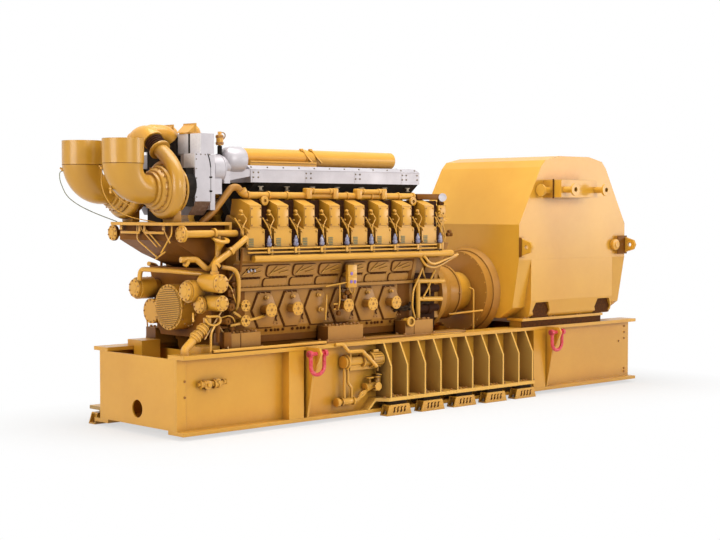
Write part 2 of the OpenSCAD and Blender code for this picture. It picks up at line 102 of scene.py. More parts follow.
class Finish:
    """A material with one Principled shader; constants are set on the shader itself."""

    def __init__(self, name, constants):
        self.material = bpy.data.materials.new(name)
        self.material.use_nodes = True
        self.tree = self.material.node_tree
        self.shader = self.tree.nodes["Principled BSDF"]
        for socket, value in constants.items():
            self.shader.inputs[socket].default_value = value

    def node(self, kind, settings=None, inputs=None, output=0):
        made = self.tree.nodes.new(kind)
        for key, value in (settings or {}).items():
            setattr(made, key, value)
        for key, value in (inputs or {}).items():
            if isinstance(value, Signal):
                self.tree.links.new(value.socket, made.inputs[key])
            else:
                made.inputs[key].default_value = value
        return Signal(self, made.outputs[output])

    def feed(self, socket, signal):
        self.tree.links.new(signal.socket, self.shader.inputs[socket])

    def bump(self, strength, distance, height, inputs=None):
        """Feeds the shader's normal with a bump that follows a height."""
        values = {"Strength": strength, "Distance": distance, "Height": height} | (inputs or {})
        self.feed("Normal", self.node("ShaderNodeBump", {}, values))

    def mix(self, mask, first, second):
        """Colour mix: first where the mask is 0, second where it is 1."""
        return self.node("ShaderNodeMix", {"data_type": "RGBA"}, {0: mask, 6: first, 7: second}, output=2)

    def place(self):
        return self.node("ShaderNodeTexCoord", output="Object")

    def noise(self, scale, detail=2.0, rough=0.5):
        inputs = {"Vector": self.place(), "Scale": scale, "Detail": detail, "Roughness": rough}
        return self.node("ShaderNodeTexNoise", {}, inputs)

    def part(self, vector, axis):
        """One axis of a vector, such as how far the surface faces along it, from -1 to 1."""
        return self.node("ShaderNodeSeparateXYZ", {}, {0: vector}, output=axis)

    def normal(self):
        return self.node("ShaderNodeNewGeometry", output="Normal")

    def ramp(self, signal, low, high):
        """Clamped 0 to 1 between two values."""
        return self.node("ShaderNodeMapRange", {}, {"Value": signal, "From Min": low, "From Max": high})


def shade(red, green, blue):
    """Linear colour from the 0 to 255 values of a paint card."""
    return tuple((c / 255) ** 2.2 for c in (red, green, blue)) + (1.0,)


# ---------------------------------------------------------------- finishes

# dark brown of the painted shade in corners and recesses
CORNER_SHADE_TONE = shade(70, 38, 10)


def enamel(name, tones, rough, peel, grain, corner_shade_depth, flank=None, gloss=0.4):
    """Sprayed enamel: tone drift, dust on top faces, painted shade in corners, painted highlight on edges,
    orange peel.

    The tones are base, pale and deep. A flank tone, painted shade, goes on faces that look along the set.
    """
    base, pale, deep = tones
    finish = Finish(name, {"Coat Roughness": 0.18, "Specular IOR Level": gloss})
    drift = finish.ramp(finish.noise(0.8, 3), 0.35, 0.65)
    mottle = finish.noise(14, 4, 0.6)
    tone = finish.mix(drift * 0.45 + mottle * 0.25, base, deep)
    # painted shade: faces that look along X take the darker flank tone
    if flank:
        lengthways = finish.part(finish.normal(), "X")
        tone = finish.mix(finish.ramp(lengthways * lengthways, 0.5, 0.9), tone, flank)
    upward = finish.ramp(finish.part(finish.normal(), "Z"), 0.4, 1.0)
    dust = upward * finish.ramp(finish.noise(3.5, 4, 0.65), 0.3, 0.7)
    tone = finish.mix(dust * 0.3, tone, pale)
    round_edge = finish.node("ShaderNodeBevel", {"samples": 4}, {"Radius": 0.008})
    pair_of_normals = {0: round_edge, 1: finish.normal()}
    agree = finish.node("ShaderNodeVectorMath", {"operation": "DOT_PRODUCT"}, pair_of_normals, "Value")
    # painted highlight: edges, where the rounded-over normal turns away from the face's own, are mixed toward
    # the pale tone
    edge = finish.ramp(1 - agree, 0.01, 0.2)
    tone = finish.mix(edge * 0.35, tone, pale)
    # painted shade: where the AO node finds the surface closed in, in corners, creases and recesses, the tone
    # goes toward a dark brown
    open_sky = finish.node("ShaderNodeAmbientOcclusion", {"samples": 6}, {"Distance": 0.22}, "AO")
    corner_shade_mask = finish.ramp(1 - open_sky, 0.12, 0.85) * (0.75 + mottle * 0.5)
    tone = finish.mix((corner_shade_mask * corner_shade_depth).least(0.92), tone, CORNER_SHADE_TONE)
    finish.feed("Base Color", tone)
    finish.feed("Roughness", rough + mottle * 0.12 + dust * 0.15 + corner_shade_mask * 0.2)
    finish.feed("Coat Weight", (1 - dust * 0.6) * gloss)
    height = finish.noise(grain, 2) * 0.7 + finish.noise(grain * 0.12, 2) * 0.6
    finish.bump(peel, 0.002, height, {"Normal": round_edge})
    return finish.material


def sheet_silver(name):
    """Heat shield sheet: light grey, faintly rippled, with soft smears."""
    finish = Finish(name, {"Metallic": 0.35, "Specular IOR Level": 0.5})
    smear = finish.ramp(finish.noise(2.2, 5, 0.6), 0.3, 0.7)
    speck = finish.noise(60, 3)
    tone = finish.mix(smear * 0.7, shade(200, 194, 198), shade(172, 166, 170))
    tone = finish.mix(finish.ramp(speck, 0.62, 0.75) * 0.35, tone, shade(150, 146, 150))
    finish.feed("Base Color", tone)
    finish.feed("Roughness", 0.34 + smear * 0.14)
    finish.bump(0.35, 0.004, finish.noise(7, 2) * 0.8 + speck * 0.1)
    return finish.material


def lagging_cloth(name):
    """Black insulation: quilted cloth with a coarse weave."""
    finish = Finish(name, {"Sheen Weight": 0.05, "Specular IOR Level": 0.2})
    fold = finish.noise(9, 4, 0.6)
    weave = finish.noise(240, 1)
    finish.feed("Base Color", finish.mix(finish.ramp(fold, 0.35, 0.7), shade(22, 17, 13), shade(46, 38, 31)))
    finish.feed("Roughness", 0.72 + weave * 0.2)
    finish.bump(0.6, 0.008, fold * 0.9 + weave * 0.15)
    return finish.material


def bare_steel(name, tone_a, tone_b, rough):
    """Machined steel: turning marks and a thin oil film."""
    finish = Finish(name, {"Metallic": 0.85})
    film = finish.noise(5, 4, 0.6)
    finish.feed("Base Color", finish.mix(finish.ramp(film, 0.3, 0.7), tone_a, tone_b))
    finish.feed("Roughness", rough + film * 0.2)
    finish.bump(0.2, 0.001, finish.noise(180, 2))
    return finish.material


def plain_coat(name, base, pale_tone, rough, coat=0.0, shine=0.5):
    """Small coloured parts: a tint that goes paler in patches, worn paint on most, painted highlight on the
    injectors.
    """
    finish = Finish(name, {"Coat Weight": coat, "Specular IOR Level": shine})
    patch = finish.ramp(finish.noise(30, 4, 0.6), 0.42, 0.7)
    finish.feed("Base Color", finish.mix(patch * 0.6, base, pale_tone))
    finish.feed("Roughness", rough + patch * 0.2)
    finish.bump(0.2, 0.001, finish.noise(150, 2))
    return finish.material


GOLD = shade(226, 166, 56)
GOLDS = (GOLD, shade(236, 186, 98), shade(206, 142, 38))
SCROLL_GOLDS_IN_SHADE = (shade(201, 148, 50), shade(210, 166, 87), shade(183, 126, 34))
LIT_RIB_GOLDS = (shade(232, 178, 76), shade(240, 200, 120), GOLD)
SHADE_GOLD_TONES = (shade(188, 134, 58), shade(216, 164, 88), shade(160, 106, 38))
DEEP_SHADE_TONES = (shade(136, 86, 30), shade(176, 122, 52), shade(98, 58, 18))
PLATE = enamel("plate_enamel", GOLDS, rough=0.3, peel=0.1, grain=160, corner_shade_depth=0.55)
CAST = enamel("casting_enamel", GOLDS, rough=0.32, peel=0.4, grain=90, corner_shade_depth=1.0)
# painted shade: the compressors, intake elbows and clamp rings take a darker copy of the gold
DUCT = enamel("duct_enamel_in_shade", SCROLL_GOLDS_IN_SHADE, rough=0.3, peel=0.1, grain=160, corner_shade_depth=0.55)
# painted light and shade: the ribs take a lighter copy of the gold, with painted shade on their sides that
# face along X
RIBBED = enamel(
    "rib_enamel", LIT_RIB_GOLDS, rough=0.32, peel=0.15, grain=140, corner_shade_depth=0.7, flank=shade(166, 129, 66),
)
# painted shade: a darker copy of the gold enamel, for the block and the parts that sit in shade
SHADE_GOLD = enamel("gold_enamel_in_shade", SHADE_GOLD_TONES, rough=0.4, peel=0.45, grain=90, corner_shade_depth=1.0, gloss=0.25)
# painted shade: the engine feet's sides that face along X take a dark flank tone
FOOT = enamel("foot_enamel", SHADE_GOLD_TONES, 0.4, 0.45, 90, 1.0, flank=shade(118, 76, 30), gloss=0.25)
# painted shade: a deep brown copy of the gold enamel, for parts deep in shade
SHADED = enamel("deep_shade_enamel", DEEP_SHADE_TONES, rough=0.5, peel=0.35, grain=90, corner_shade_depth=1.0, gloss=0.1)
SILVER = sheet_silver("heat_shield_sheet")
BLACK = lagging_cloth("lagging_cloth")
STEEL = bare_steel("machined_steel", shade(150, 138, 120), shade(104, 92, 76), 0.3)
RED = plain_coat("shackle_red", shade(206, 44, 62), shade(232, 116, 120), 0.4, coat=0.3)
# painted shade: a darker copy of the shackle red, for the pin heads
RED_IN_SHADE = plain_coat("pin_red_in_shade", shade(150, 36, 48), shade(190, 84, 84), 0.45, coat=0.2)
RUBBER = plain_coat("dark_rubber", shade(46, 34, 22), shade(84, 66, 46), 0.7, shine=0.15)
# painted highlight: the injectors' pale patches stand for glints on their bodies
PALE_BLUE = plain_coat("injector_blue", shade(112, 112, 142), shade(222, 212, 214), 0.35, coat=0.3)
GREEN_GREY = plain_coat("grille_green", shade(104, 112, 78), shade(150, 140, 96), 0.5)
DARK_SEAM = plain_coat("dark_seam", shade(74, 42, 14), shade(120, 74, 30), 0.6, shine=0.1)
# painted shade: dark brown for backings put where gaps and recesses lie in shade
DARK_GAP = plain_coat("shaded_gap", shade(52, 30, 18), shade(84, 54, 34), 0.6, shine=0.1)
# painted light: near-white sheet for casing faces that lie in the ducts' shadow
PAINTED_LIGHT_SHEET = plain_coat("sheet_painted_light", shade(240, 238, 242), shade(222, 220, 226), 0.4)
# painted shade: dark sheet for faces turned down toward the floor
SHADE_SHEET = plain_coat("sheet_painted_shade", shade(104, 80, 66), shade(140, 118, 104), 0.5, shine=0.3)
DARK_BOLT = plain_coat("shaded_bolt", shade(150, 98, 36), shade(196, 140, 62), 0.4, coat=0.2)
VIOLET = plain_coat("lamp_violet", shade(128, 92, 176), shade(176, 150, 206), 0.35, coat=0.4)

# every other node is a painted casting
DRESS = {
    PLATE: [
        "rail_near", "rail_far", "cross_members", "base_plates", "isolators", "generator_housing",
        "generator_feet", "cooler_box", "turbo_bracket", "air_elbow_near", "air_elbow_far", "vent_tube",
    ],
    SHADE_GOLD: ["crankcase", "crankcase_doors", "drive_end_bell", "flywheel_housing"],
    FOOT: ["engine_feet"],
    RIBBED: ["outrigger_near", "outrigger_far"],
    SHADED: ["oil_sump", "aftercooler", "front_housing"],
    SILVER: ["exhaust_shield", "turbine_shields"],
    BLACK: ["exhaust_manifold", "turbine_lagging"],
    RED: ["lifting_shackles"],
}
coats = {name: material for material, names in DRESS.items() for name in names}
for name, node in NODES.items():
    node.data.materials.clear()
    node.data.materials.append(coats.get(name, CAST))

# ---------------------------------------------------------------- measures, in metres

PITCH = 0.46
CYLINDERS = [-3.675 + PITCH * i for i in range(8)]
GAPS = [x - PITCH / 2 for x in CYLINDERS] + [CYLINDERS[7] + PITCH / 2]
FEET = [-1.348 + 0.674 * i for i in range(5)]
TURBO_Y = -0.455
TURBO_Z = 3.115
SHAFT_Z = 1.59
DECK = 1.0505

NEAR = (0, -1, 0)
OUT = (-1, 0, 0)
UP = (0, 0, 1)
AXLE = Vector((1, 0, 0))
FLIP = Matrix.Scale(-1, 4, (0, 1, 0))

# ---------------------------------------------------------------- modelling

SMOOTH_BELOW = radians(35)
ROUND_ABOVE = radians(30)


def deselect():
    bpy.ops.object.select_all(action="DESELECT")


def take(objects):
    """Selects just these objects; the first one becomes active."""
    deselect()
    for each in objects:
        each.select_set(True)
    bpy.context.view_layer.objects.active = objects[0]


def merge(objects):
    take(objects)
    if len(objects) > 1:
        bpy.ops.object.join()
    return bpy.context.object


def soften(piece, width, segments=2):
    """Rounds the edges of a piece over."""
    take([piece])
    modifier = piece.modifiers.new("round_over", "BEVEL")
    modifier.width = width
    modifier.segments = segments
    modifier.limit_method = "ANGLE"
    modifier.angle_limit = ROUND_ABOVE
    bpy.ops.object.modifier_apply(modifier=modifier.name)
    return piece


def turned(profile, sides=24):
    """Round part along +Z: a disc pushed out and scaled through (height, radius) steps."""
    deselect()
    height, radius = profile[0]
    bpy.ops.mesh.primitive_circle_add(vertices=sides, radius=radius, fill_type="NGON")
    bpy.ops.object.mode_set(mode="EDIT")
    bpy.ops.mesh.select_all(action="SELECT")
    bpy.ops.transform.translate(value=(0, 0, height))
    for next_height, next_radius in profile[1:]:
        rise = {"value": (0, 0, next_height - height)}
        bpy.ops.mesh.extrude_region_move(TRANSFORM_OT_translate=rise)
        grow = next_radius / radius
        bpy.ops.transform.resize(value=(grow, grow, 1), center_override=(0, 0, next_height))
        height, radius = next_height, next_radius
    bpy.ops.mesh.select_all(action="SELECT")
    bpy.ops.mesh.normals_make_consistent(inside=False)
    bpy.ops.object.mode_set(mode="OBJECT")
    return bpy.context.object


def band(half, inner, outer):
    """Profile of a plain ring."""
    return [(-half, inner), (-half, outer), (half, outer), (half, inner)]


def slab(low, high, edge=0.004, segments=2):
    """Block between two corners with its edges rounded over."""
    deselect()
    middle = [(a + b) / 2 for a, b in zip(low, high)]
    size = [abs(b - a) for a, b in zip(low, high)]
    bpy.ops.mesh.primitive_cube_add(size=1, location=middle, scale=size)
    bpy.ops.object.transform_apply(location=True, scale=True)
    return soften(bpy.context.object, edge, segments)


def rounded(points, bend, steps=4):
    """Points of a route with each corner turned into an arc."""
    points = [Vector(p) for p in points]
    route = [points[0]]
    for before, corner, after in zip(points, points[1:], points[2:]):
        back, on = before - corner, after - corner
        reach = min(bend, back.length * 0.49, on.length * 0.49)
        start, end = corner + back.normalized() * reach, corner + on.normalized() * reach
        for step in range(steps + 1):
            t = step / steps
            route.append(start.lerp(corner, t).lerp(corner.lerp(end, t), t))
    return route + [points[-1]]


def swept(points, radii, sides=32):
    """Round duct with closed ends and its own radius at each point: a curve with depth, made a mesh."""
    curve = bpy.data.curves.new("duct", "CURVE")
    curve.dimensions = "3D"
    curve.bevel_depth = 1.0
    curve.bevel_resolution = sides // 2 - 2
    curve.use_fill_caps = True
    line = curve.splines.new("POLY")
    line.points.add(len(points) - 1)
    for knot, place, radius in zip(line.points, points, radii):
        knot.co = (*place, 1)
        knot.radius = radius
    duct = bpy.data.objects.new("duct", curve)
    bpy.context.scene.collection.objects.link(duct)
    take([duct])
    bpy.ops.object.convert(target="MESH")
    return bpy.context.object


def tube(points, radius, bend=0.05, sides=8):
    """Bent pipe of one radius."""
    route = rounded(points, bend)
    return swept(route, [radius] * len(route), sides)


def at_x(x, *route):
    """Route in one plane across the set, from its (y, z) points."""
    return [(x, y, z) for y, z in route]


def at_y(y, *route):
    """Route in one plane along the set, from its (x, z) points."""
    return [(x, y, z) for x, z in route]


def span(start, end, steps):
    """Even steps from start to end, both included."""
    return [start + (end - start) * step / steps for step in range(steps + 1)]


def pose(place, axis=UP, turn=0.0, size=1.0):
    """Matrix that stands a pattern's +Z along an axis at a place."""
    stand = Vector(axis).to_track_quat("Z", "Y").to_matrix().to_4x4()
    return Matrix.Translation(place) @ stand @ Matrix.Rotation(turn, 4, "Z") @ Matrix.Scale(size, 4)


def near(x, y, z, size=1.0):
    """Pose that faces the near side."""
    return pose((x, y, z), NEAR, 0, size)


def along(x, y, z, size=1.0):
    """Pose that faces the generator."""
    return pose((x, y, z), AXLE, 0, size)


def upright(x, y, z, size=1.0):
    return pose((x, y, z), UP, 0, size)


def ring(centre, axis, radius, count, start=0.0):
    """Poses evenly round a circle."""
    stand = pose(centre, axis)
    turns = [Matrix.Rotation(start + 2 * pi * step / count, 4, "Z") for step in range(count)]
    return [stand @ turn @ Matrix.Translation((radius, 0, 0)) for turn in turns]


def row(start, end, count, axis):
    """Poses evenly along a line."""
    start, end = Vector(start), Vector(end)
    return [pose(start.lerp(end, step / (count - 1)), axis) for step in range(count)]


def both(spots):
    """The same poses on both sides of the centre plane."""
    return spots + [FLIP @ spot @ FLIP for spot in spots]


def copied(piece, place):
    """Copy moved by a matrix; a mirrored copy has its faces turned outward again."""
    twin = piece.copy()
    twin.data = piece.data.copy()
    twin.data.transform(place)
    if place.determinant() < 0:
        twin.data.flip_normals()
    bpy.context.scene.collection.objects.link(twin)
    return twin


def stamp(pattern, spots):
    """Copies of a pattern at the poses, joined as one mesh; the pattern goes."""
    copies = [copied(pattern, spot) for spot in spots]
    bpy.data.objects.remove(pattern)
    return merge(copies)


def across(pieces):
    """Adds the mirror image of each piece on the other side."""
    return pieces + [copied(piece, FLIP) for piece in pieces]


def mirrored(pieces):
    """The pieces and their mirror images as one mesh."""
    return merge(across(pieces))


def placed(profile, place, axis, sides=48):
    """Turned part stood along an axis at a place."""
    part = turned(profile, sides)
    part.data.transform(pose(place, axis))
    return part


def fit(name, piece, material):
    """Names a finished piece, gives it its finish and lets it ride on the set."""
    take([piece])
    piece.name = name
    piece.data.name = name
    piece.data.materials.clear()
    piece.data.materials.append(material)
    bpy.ops.object.shade_smooth_by_angle(angle=SMOOTH_BELOW)
    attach(piece, "root")
    return piece


def pair(name, piece, material, stands_for=None):
    """Near piece and its mirror image on the far side, each of which may stand for a CAD node."""
    for side, made in zip(("near", "far"), across([piece])):
        fit(f"{name}_{side}", made, material)
        if stands_for:
            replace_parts(made, f"{stands_for}_{side}")


def rounds(name, profile, sides, spots, material):
    """One turned pattern at every pose, as one piece."""
    return fit(name, stamp(turned(profile, sides), spots), material)


def slabs(name, corners, material, edge=0.004, segments=2):
    """Blocks between pairs of corners and their mirror images, as one piece."""
    return fit(name, mirrored([slab(low, high, edge, segments) for low, high in corners]), material)


def bolt():
    """Hexagon head on a washer, for a bolt of unit width across its washer."""
    washer = turned([(0, 0.5), (0.1, 0.5), (0.12, 0.47)], 10)
    head = turned([(0.1, 0.4), (0.42, 0.4), (0.5, 0.33)], 6)
    return merge([washer, head])


def fasten(name, spots, width, material=DARK_BOLT):
    """A set of bolts of one width as one piece."""
    sized = [spot @ Matrix.Scale(width, 4) for spot in spots]
    return fit(name, stamp(bolt(), sized), material)


def pipes(name, routes, radius, bend, material, sides=8, mirror=True):
    """Small pipework of one bore as one piece, on both sides if asked."""
    made = [tube(route, radius, bend, sides) for route in routes]
    return fit(name, mirrored(made) if mirror else merge(made), material)


# ---------------------------------------------------------------- cylinder gaps and covers

body = [
    (0, 0.02), (0.015, 0.034), (0.045, 0.037), (0.05, 0.026), (0.085, 0.03), (0.11, 0.022), (0.115, 0.015),
    (0.145, 0.012),
]
spots = [upright(x - 0.02, -0.86, 2.375) for x in GAPS[1:]]
rounds("injectors", body, 12, both(spots), PALE_BLUE)

FORK_Y = -0.85
forks, knobs, mounts = [], [], []
for x in GAPS:
    forks.append(at_y(FORK_Y, (x - 0.01, 2.83), (x + 0.072, 2.735), (x + 0.006, 2.63), (x + 0.018, 2.545)))
    forks.append(at_y(FORK_Y, (x - 0.122, 2.755), (x - 0.035, 2.64), (x + 0.002, 2.57), (x + 0.03, 2.48)))
    knobs += [near(x - 0.01, -0.83, 2.84, 0.75), near(x - 0.015, -0.8, 2.72, 0.5)]
    mounts.append(slab((x - 0.025, -0.86, 2.785), (x + 0.01, -0.8, 2.805)))
mounts += [slab((x + 0.005, -0.875, 2.24), (x + 0.04, -0.84, 2.38)) for x in GAPS[1:]]
pipes("fuel_forks", forks, 0.0085, 0.02, PLATE)
knob = turned([
    (-0.02, 0.016), (-0.015, 0.026), (0.02, 0.028), (0.03, 0.02), (0.045, 0.02), (0.05, 0.014),
], 12)
fit("fork_knobs", merge([stamp(knob, both(knobs))] + across(mounts)), PLATE)

rods = [[(x + side, -0.6, 2.42), (x + side, -0.56, 2.8)] for x in GAPS[1:8] for side in (-0.05, 0.05)]
pipes("push_rod_tubes", rods, 0.024, 0.05, SHADED)

COVER_SIDE = -0.8395
HEAD_SIDE = -0.839
faces = [((x - 0.088, -0.852, 2.635), (x + 0.088, COVER_SIDE, 2.895)) for x in CYLINDERS]
slabs("cover_faces", faces, CAST, 0.006)
spots = [near(x + dx, -0.851, z) for x in CYLINDERS for dx in (-0.072, 0.072) for z in (2.655, 2.765, 2.875)]
fasten("cover_bolts", both(spots), 0.024)
spots = [near(x + dx, HEAD_SIDE, z) for x in CYLINDERS for dx in (-0.13, 0.13) for z in (2.4, 2.57)]
fasten("head_bolts", both(spots), 0.032, CAST)

bars = [2.385 + 0.022 * step for step in range(5)]
grille = [((x - 0.115, -0.846, z), (x - 0.035, -0.838, z + 0.012)) for x in CYLINDERS for z in bars]
slabs("head_grilles", grille, GREEN_GREY, 0.002, 1)

# ---------------------------------------------------------------- block sides and doors


def lobed_plate(width, height):
    """Side cover of the block: a plate with its four corners rounded well off."""
    deselect()
    bpy.ops.mesh.primitive_cube_add(size=1, location=(0, 0, 0), scale=(width, 0.016, height))
    bpy.ops.object.transform_apply(location=True, scale=True)
    plate = bpy.context.object
    bpy.ops.object.mode_set(mode="EDIT")
    bpy.ops.mesh.select_all(action="DESELECT")
    bpy.ops.mesh.select_mode(type="EDGE")
    bpy.ops.object.mode_set(mode="OBJECT")
    for edge in plate.data.edges:
        ends = [plate.data.vertices[v].co for v in edge.vertices]
        edge.select = abs(ends[0].y - ends[1].y) > 0.01
    bpy.ops.object.mode_set(mode="EDIT")
    bpy.ops.mesh.bevel(offset=0.035, segments=3, profile=0.4, affect="EDGES")
    bpy.ops.object.mode_set(mode="OBJECT")
    return soften(plate, 0.004)


# the block's flank leans from (y -0.66, z 1.83) out to (y -0.745, z 2.16)
LEAN = Matrix.Rotation(radians(14.4), 4, "X")
BLOCK_SIDE = -0.639
upper, lower, beads, bolts, struts = [], [], [], [], []
for x in [-3.665 + PITCH * i for i in range(7)]:
    upper.append(Matrix.Translation((x + 0.015, -0.725, 2.055)) @ LEAN)
    lower.append(Matrix.Translation((x - 0.025, -0.682, 1.898)) @ LEAN)
    for i in range(9):
        beads.append(upper[-1] @ near(-0.13 + 0.034 * i, -0.004, -0.092 + 0.008 * (i % 2), 0.9))
    bolts += [lower[-1] @ near(-0.14 + 0.07 * i, -0.006, -0.043) for i in range(5)]
    struts.append([(x - 0.12, -0.734, 2.02), (x + 0.13, -0.752, 2.1)])
    struts.append([(x - 0.15, -0.733, 2.0), (x - 0.03, -0.758, 2.11)])
    struts.append([(x + 0.02, -0.735, 2.02), (x + 0.17, -0.742, 2.05)])


def flank_plates(change):
    """Both rows of side covers, each pose followed by one more change."""
    rows = (((0.4, 0.15), upper), ((0.385, 0.115), lower))
    return [stamp(lobed_plate(*size), both([spot @ change for spot in spots])) for size, spots in rows]


fit("flank_covers", merge(flank_plates(Matrix())), SHADE_GOLD)
behind = Matrix.Translation((-0.012, 0, 0)) @ Matrix.Diagonal((1.045, 0.4, 1.1, 1))
beading = stamp(turned([(0, 0.012), (0.012, 0.012), (0.014, 0.008)], 8), both(beads))
fit("flank_gaskets", merge(flank_plates(behind) + [beading]), DARK_SEAM)
fasten("flank_bolts", both(bolts), 0.022)
pipes("flank_struts", struts, 0.006, 0.02, CAST, 6)
slabs("harness_plugs", [((-3.755, -0.752, 2.07), (-3.61, -0.73, 2.092))], RUBBER)
places = ((-3.735, 2.07), (-3.69, 2.085), (-3.63, 2.08))
spots = [pose((x, -0.758, z), (0.5, 0, -1), 0, 0.6) for x, z in places]
rounds(
    "harness_tips", [(0, 0.012), (0, 0.02), (0.05, 0.02), (0.055, 0.012)], 10, both(spots), SILVER,
)

# painted shade: dark panels at both ends of the block's side, where it lies in shade
end_shade_panels = [
    slab((-0.9, -0.6425, 1.3), (-0.655, BLOCK_SIDE, 1.8), 0.001, 1),
    slab((-3.975, -0.6425, 1.32), (-3.7, BLOCK_SIDE, 1.8), 0.001, 1),
]
for x, half in ((-0.765, 0.105), (-3.9, 0.06)):
    panel = slab((-half, -0.004, -0.16), (half, 0.004, 0.16), 0.001, 1)
    panel.data.transform(Matrix.Translation((x, -0.7035, 1.995)) @ LEAN)
    end_shade_panels.append(panel)
fit("block_end_shade_panels", mirrored(end_shade_panels), SHADED)

DOORS = [-3.402 + PITCH * i for i in range(6)]
NECKED_DOORS = DOORS[:2] + DOORS[3:]
NECK_Z = 1.545


def door_plates(wide, high, thick, shift):
    """Six-sided doors with flat top and bottom, facing near."""
    plate = turned([(0, 1), (thick, 1)], 6)
    plate.data.transform(
        pose((0, 0, 0), NEAR) @ Matrix.Diagonal((wide, high / cos(pi / 6), 1, 1))
        @ Matrix.Rotation(pi / 6, 4, "Z")
    )
    return stamp(plate, [Matrix.Translation((x + shift, -0.64, 1.535)) for x in DOORS])


panels = mirrored([soften(door_plates(0.215, 0.226, 0.024, 0.028), 0.006)])
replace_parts(fit("door_panels", panels, SHADE_GOLD), "crankcase_doors")
rims = [door_plates(0.229, 0.24, 0.012, 0.022)]
for x in DOORS:
    hook = at_y(-0.66, (x + 0.235, 1.455), (x + 0.212, 1.43), (x + 0.222, 1.395), (x + 0.235, 1.385))
    rims.append(tube(hook, 0.009, 0.02, 6))
fit("door_seams", mirrored(rims), DARK_SEAM)
necks = both([near(x, -0.66, NECK_Z) for x in NECKED_DOORS])
rounds(
    "door_necks", [(-0.02, 0.062), (0.13, 0.058), (0.13, 0.05), (0.17, 0.05)], 20, necks, SHADE_GOLD,
)
disc = [
    (0.15, 0.05), (0.15, 0.086), (0.156, 0.092), (0.172, 0.092), (0.176, 0.088), (0.176, 0.022),
    (0.168, 0.018),
]
rounds("door_flanges", disc, 28, necks, PLATE)
spots = [spot for x in NECKED_DOORS for spot in ring((x, -0.835, NECK_Z), NEAR, 0.066, 6)]
fasten("door_flange_bolts", both(spots), 0.018)
peg = [(-0.01, 0.018), (0, 0.03), (0.03, 0.03), (0.034, 0.02), (0.06, 0.02), (0.064, 0.014)]
spots = [near(x + 0.03, -0.662, 1.7) for x in DOORS] + [near(DOORS[2] + 0.06, -0.66, 1.5, 1.3)]
rounds("door_pegs", peg, 14, both(spots), CAST)
spots, sill = [], []
for x in DOORS:
    spots += [near(x + dx, -0.64, 1.352) for dx in (0.198, 0.252)]
    spots += [near(x + dx, -0.664, 1.76) for dx in (-0.06, 0.03, 0.12)]
    sill += [pose((x + dx, -0.628, 1.262), (0, -0.95, -0.3), 0.2) for dx in (0.07, 0.16, 0.225, 0.28, 0.363)]
fasten("door_bolts", both(spots), 0.026)
rounds(
    "sill_bolts", [(-0.004, 0.017), (0.012, 0.017), (0.016, 0.012)], 12, both(sill), DARK_SEAM,
)

# ---------------------------------------------------------------- exhaust shield

SHIELD_SIDE = -0.49
BOLT_ROWS = (3.288, 3.352)
joints = [-3.417, -2.491, -1.571, -0.647]
straps, spots = [], []
for x in joints:
    straps.append(slab((x - 0.03, -0.4935, 3.225), (x - 0.022, -0.488, 3.392), 0.002))
    straps.append(slab((x - 0.03, -0.4, 3.444), (x - 0.022, 0.4, 3.4495), 0.002))
    spots += [near(x + dx, SHIELD_SIDE, z) for dx in (-0.01, 0.075) for z in BOLT_ROWS]
straps.append(slab((-3.46, -0.495, 3.386), (-0.33, -0.485, 3.396), 0.003))
fit("shield_straps", mirrored(straps), SILVER)
spots += [near(-0.35, SHIELD_SIDE, z) for z in BOLT_ROWS]
spots += row((-3.43, -0.445, 3.418), (-0.36, -0.445, 3.418), 12, (0, -0.5, 0.85))
fasten("shield_bolts", both(spots), 0.026, STEEL)

# ---------------------------------------------------------------- pump lids at the free end

lids, spots = [], []
for place, axis, radius in (
    ((-4.59, -0.56, 1.822), OUT, 0.125), ((-4.59, 0.56, 1.822), OUT, 0.125),
    ((-4.48, -0.7, 1.655), OUT, 0.112), ((-4.36, -0.98, 1.93), NEAR, 0.12),
    ((-4.34, -0.98, 1.68), NEAR, 0.103), ((-4.8, -0.75, 2.555), OUT, 0.105),
    ((-4.8, 0.75, 2.555), OUT, 0.105),
):
    lid = [
        (-0.004, radius - 0.02), (0.0, radius - 0.004), (0.014, radius - 0.004), (0.018, radius - 0.01),
        (0.018, radius * 0.5), (0.026, radius * 0.44),
    ]
    lids.append(placed(lid, place, axis, 32))
    spots += ring(Vector(place) + 0.016 * Vector(axis), axis, radius - 0.022, 8, 0.3)
fit("pump_lids", merge(lids), CAST)
fasten("pump_lid_bolts", spots, 0.026)

# ---------------------------------------------------------------- pipework at the free end

pipes("front_cross_pipe", [[
    (-4.6, 0.44, 1.93), (-4.6, 0.42, 2.08), (-4.52, -0.2, 2.07), (-4.34, -0.7, 2.03), (-4.2, -0.72, 2.02),
]], 0.032, 0.09, CAST, 12, False)
pipes("front_down_pipes", [[
    (-4.2, -0.8, 2.13), (-4.03, -0.86, 2.1), (-3.975, -0.86, 1.98), (-3.985, -0.86, 1.6),
    (-3.985, -0.7, 1.55),
]], 0.03, 0.1, CAST, 12)
pipes("front_loops", [
    [
        (-4.5, -0.88, 1.52), (-4.52, -0.93, 1.519), (-4.34, -0.93, 1.519), (-4.316, -0.93, 1.443),
        (-4.419, -0.93, 1.398), (-4.521, -0.93, 1.428), (-4.537, -0.9, 1.486),
    ],
    at_y(-0.93, (-4.419, 1.398), (-4.475, 1.313), (-4.484, 1.06)),
], 0.016, 0.04, CAST, 8, False)
pipes("front_rods", [
    at_y(-0.9, (-4.236, 1.64), (-4.554, 1.234)),
    [(-4.716, -0.88, 1.46), (-4.716, -0.88, 1.53), (-4.66, -0.8, 1.56)],
], 0.011, 0.04, CAST, 8, False)
LINES_X = -4.86
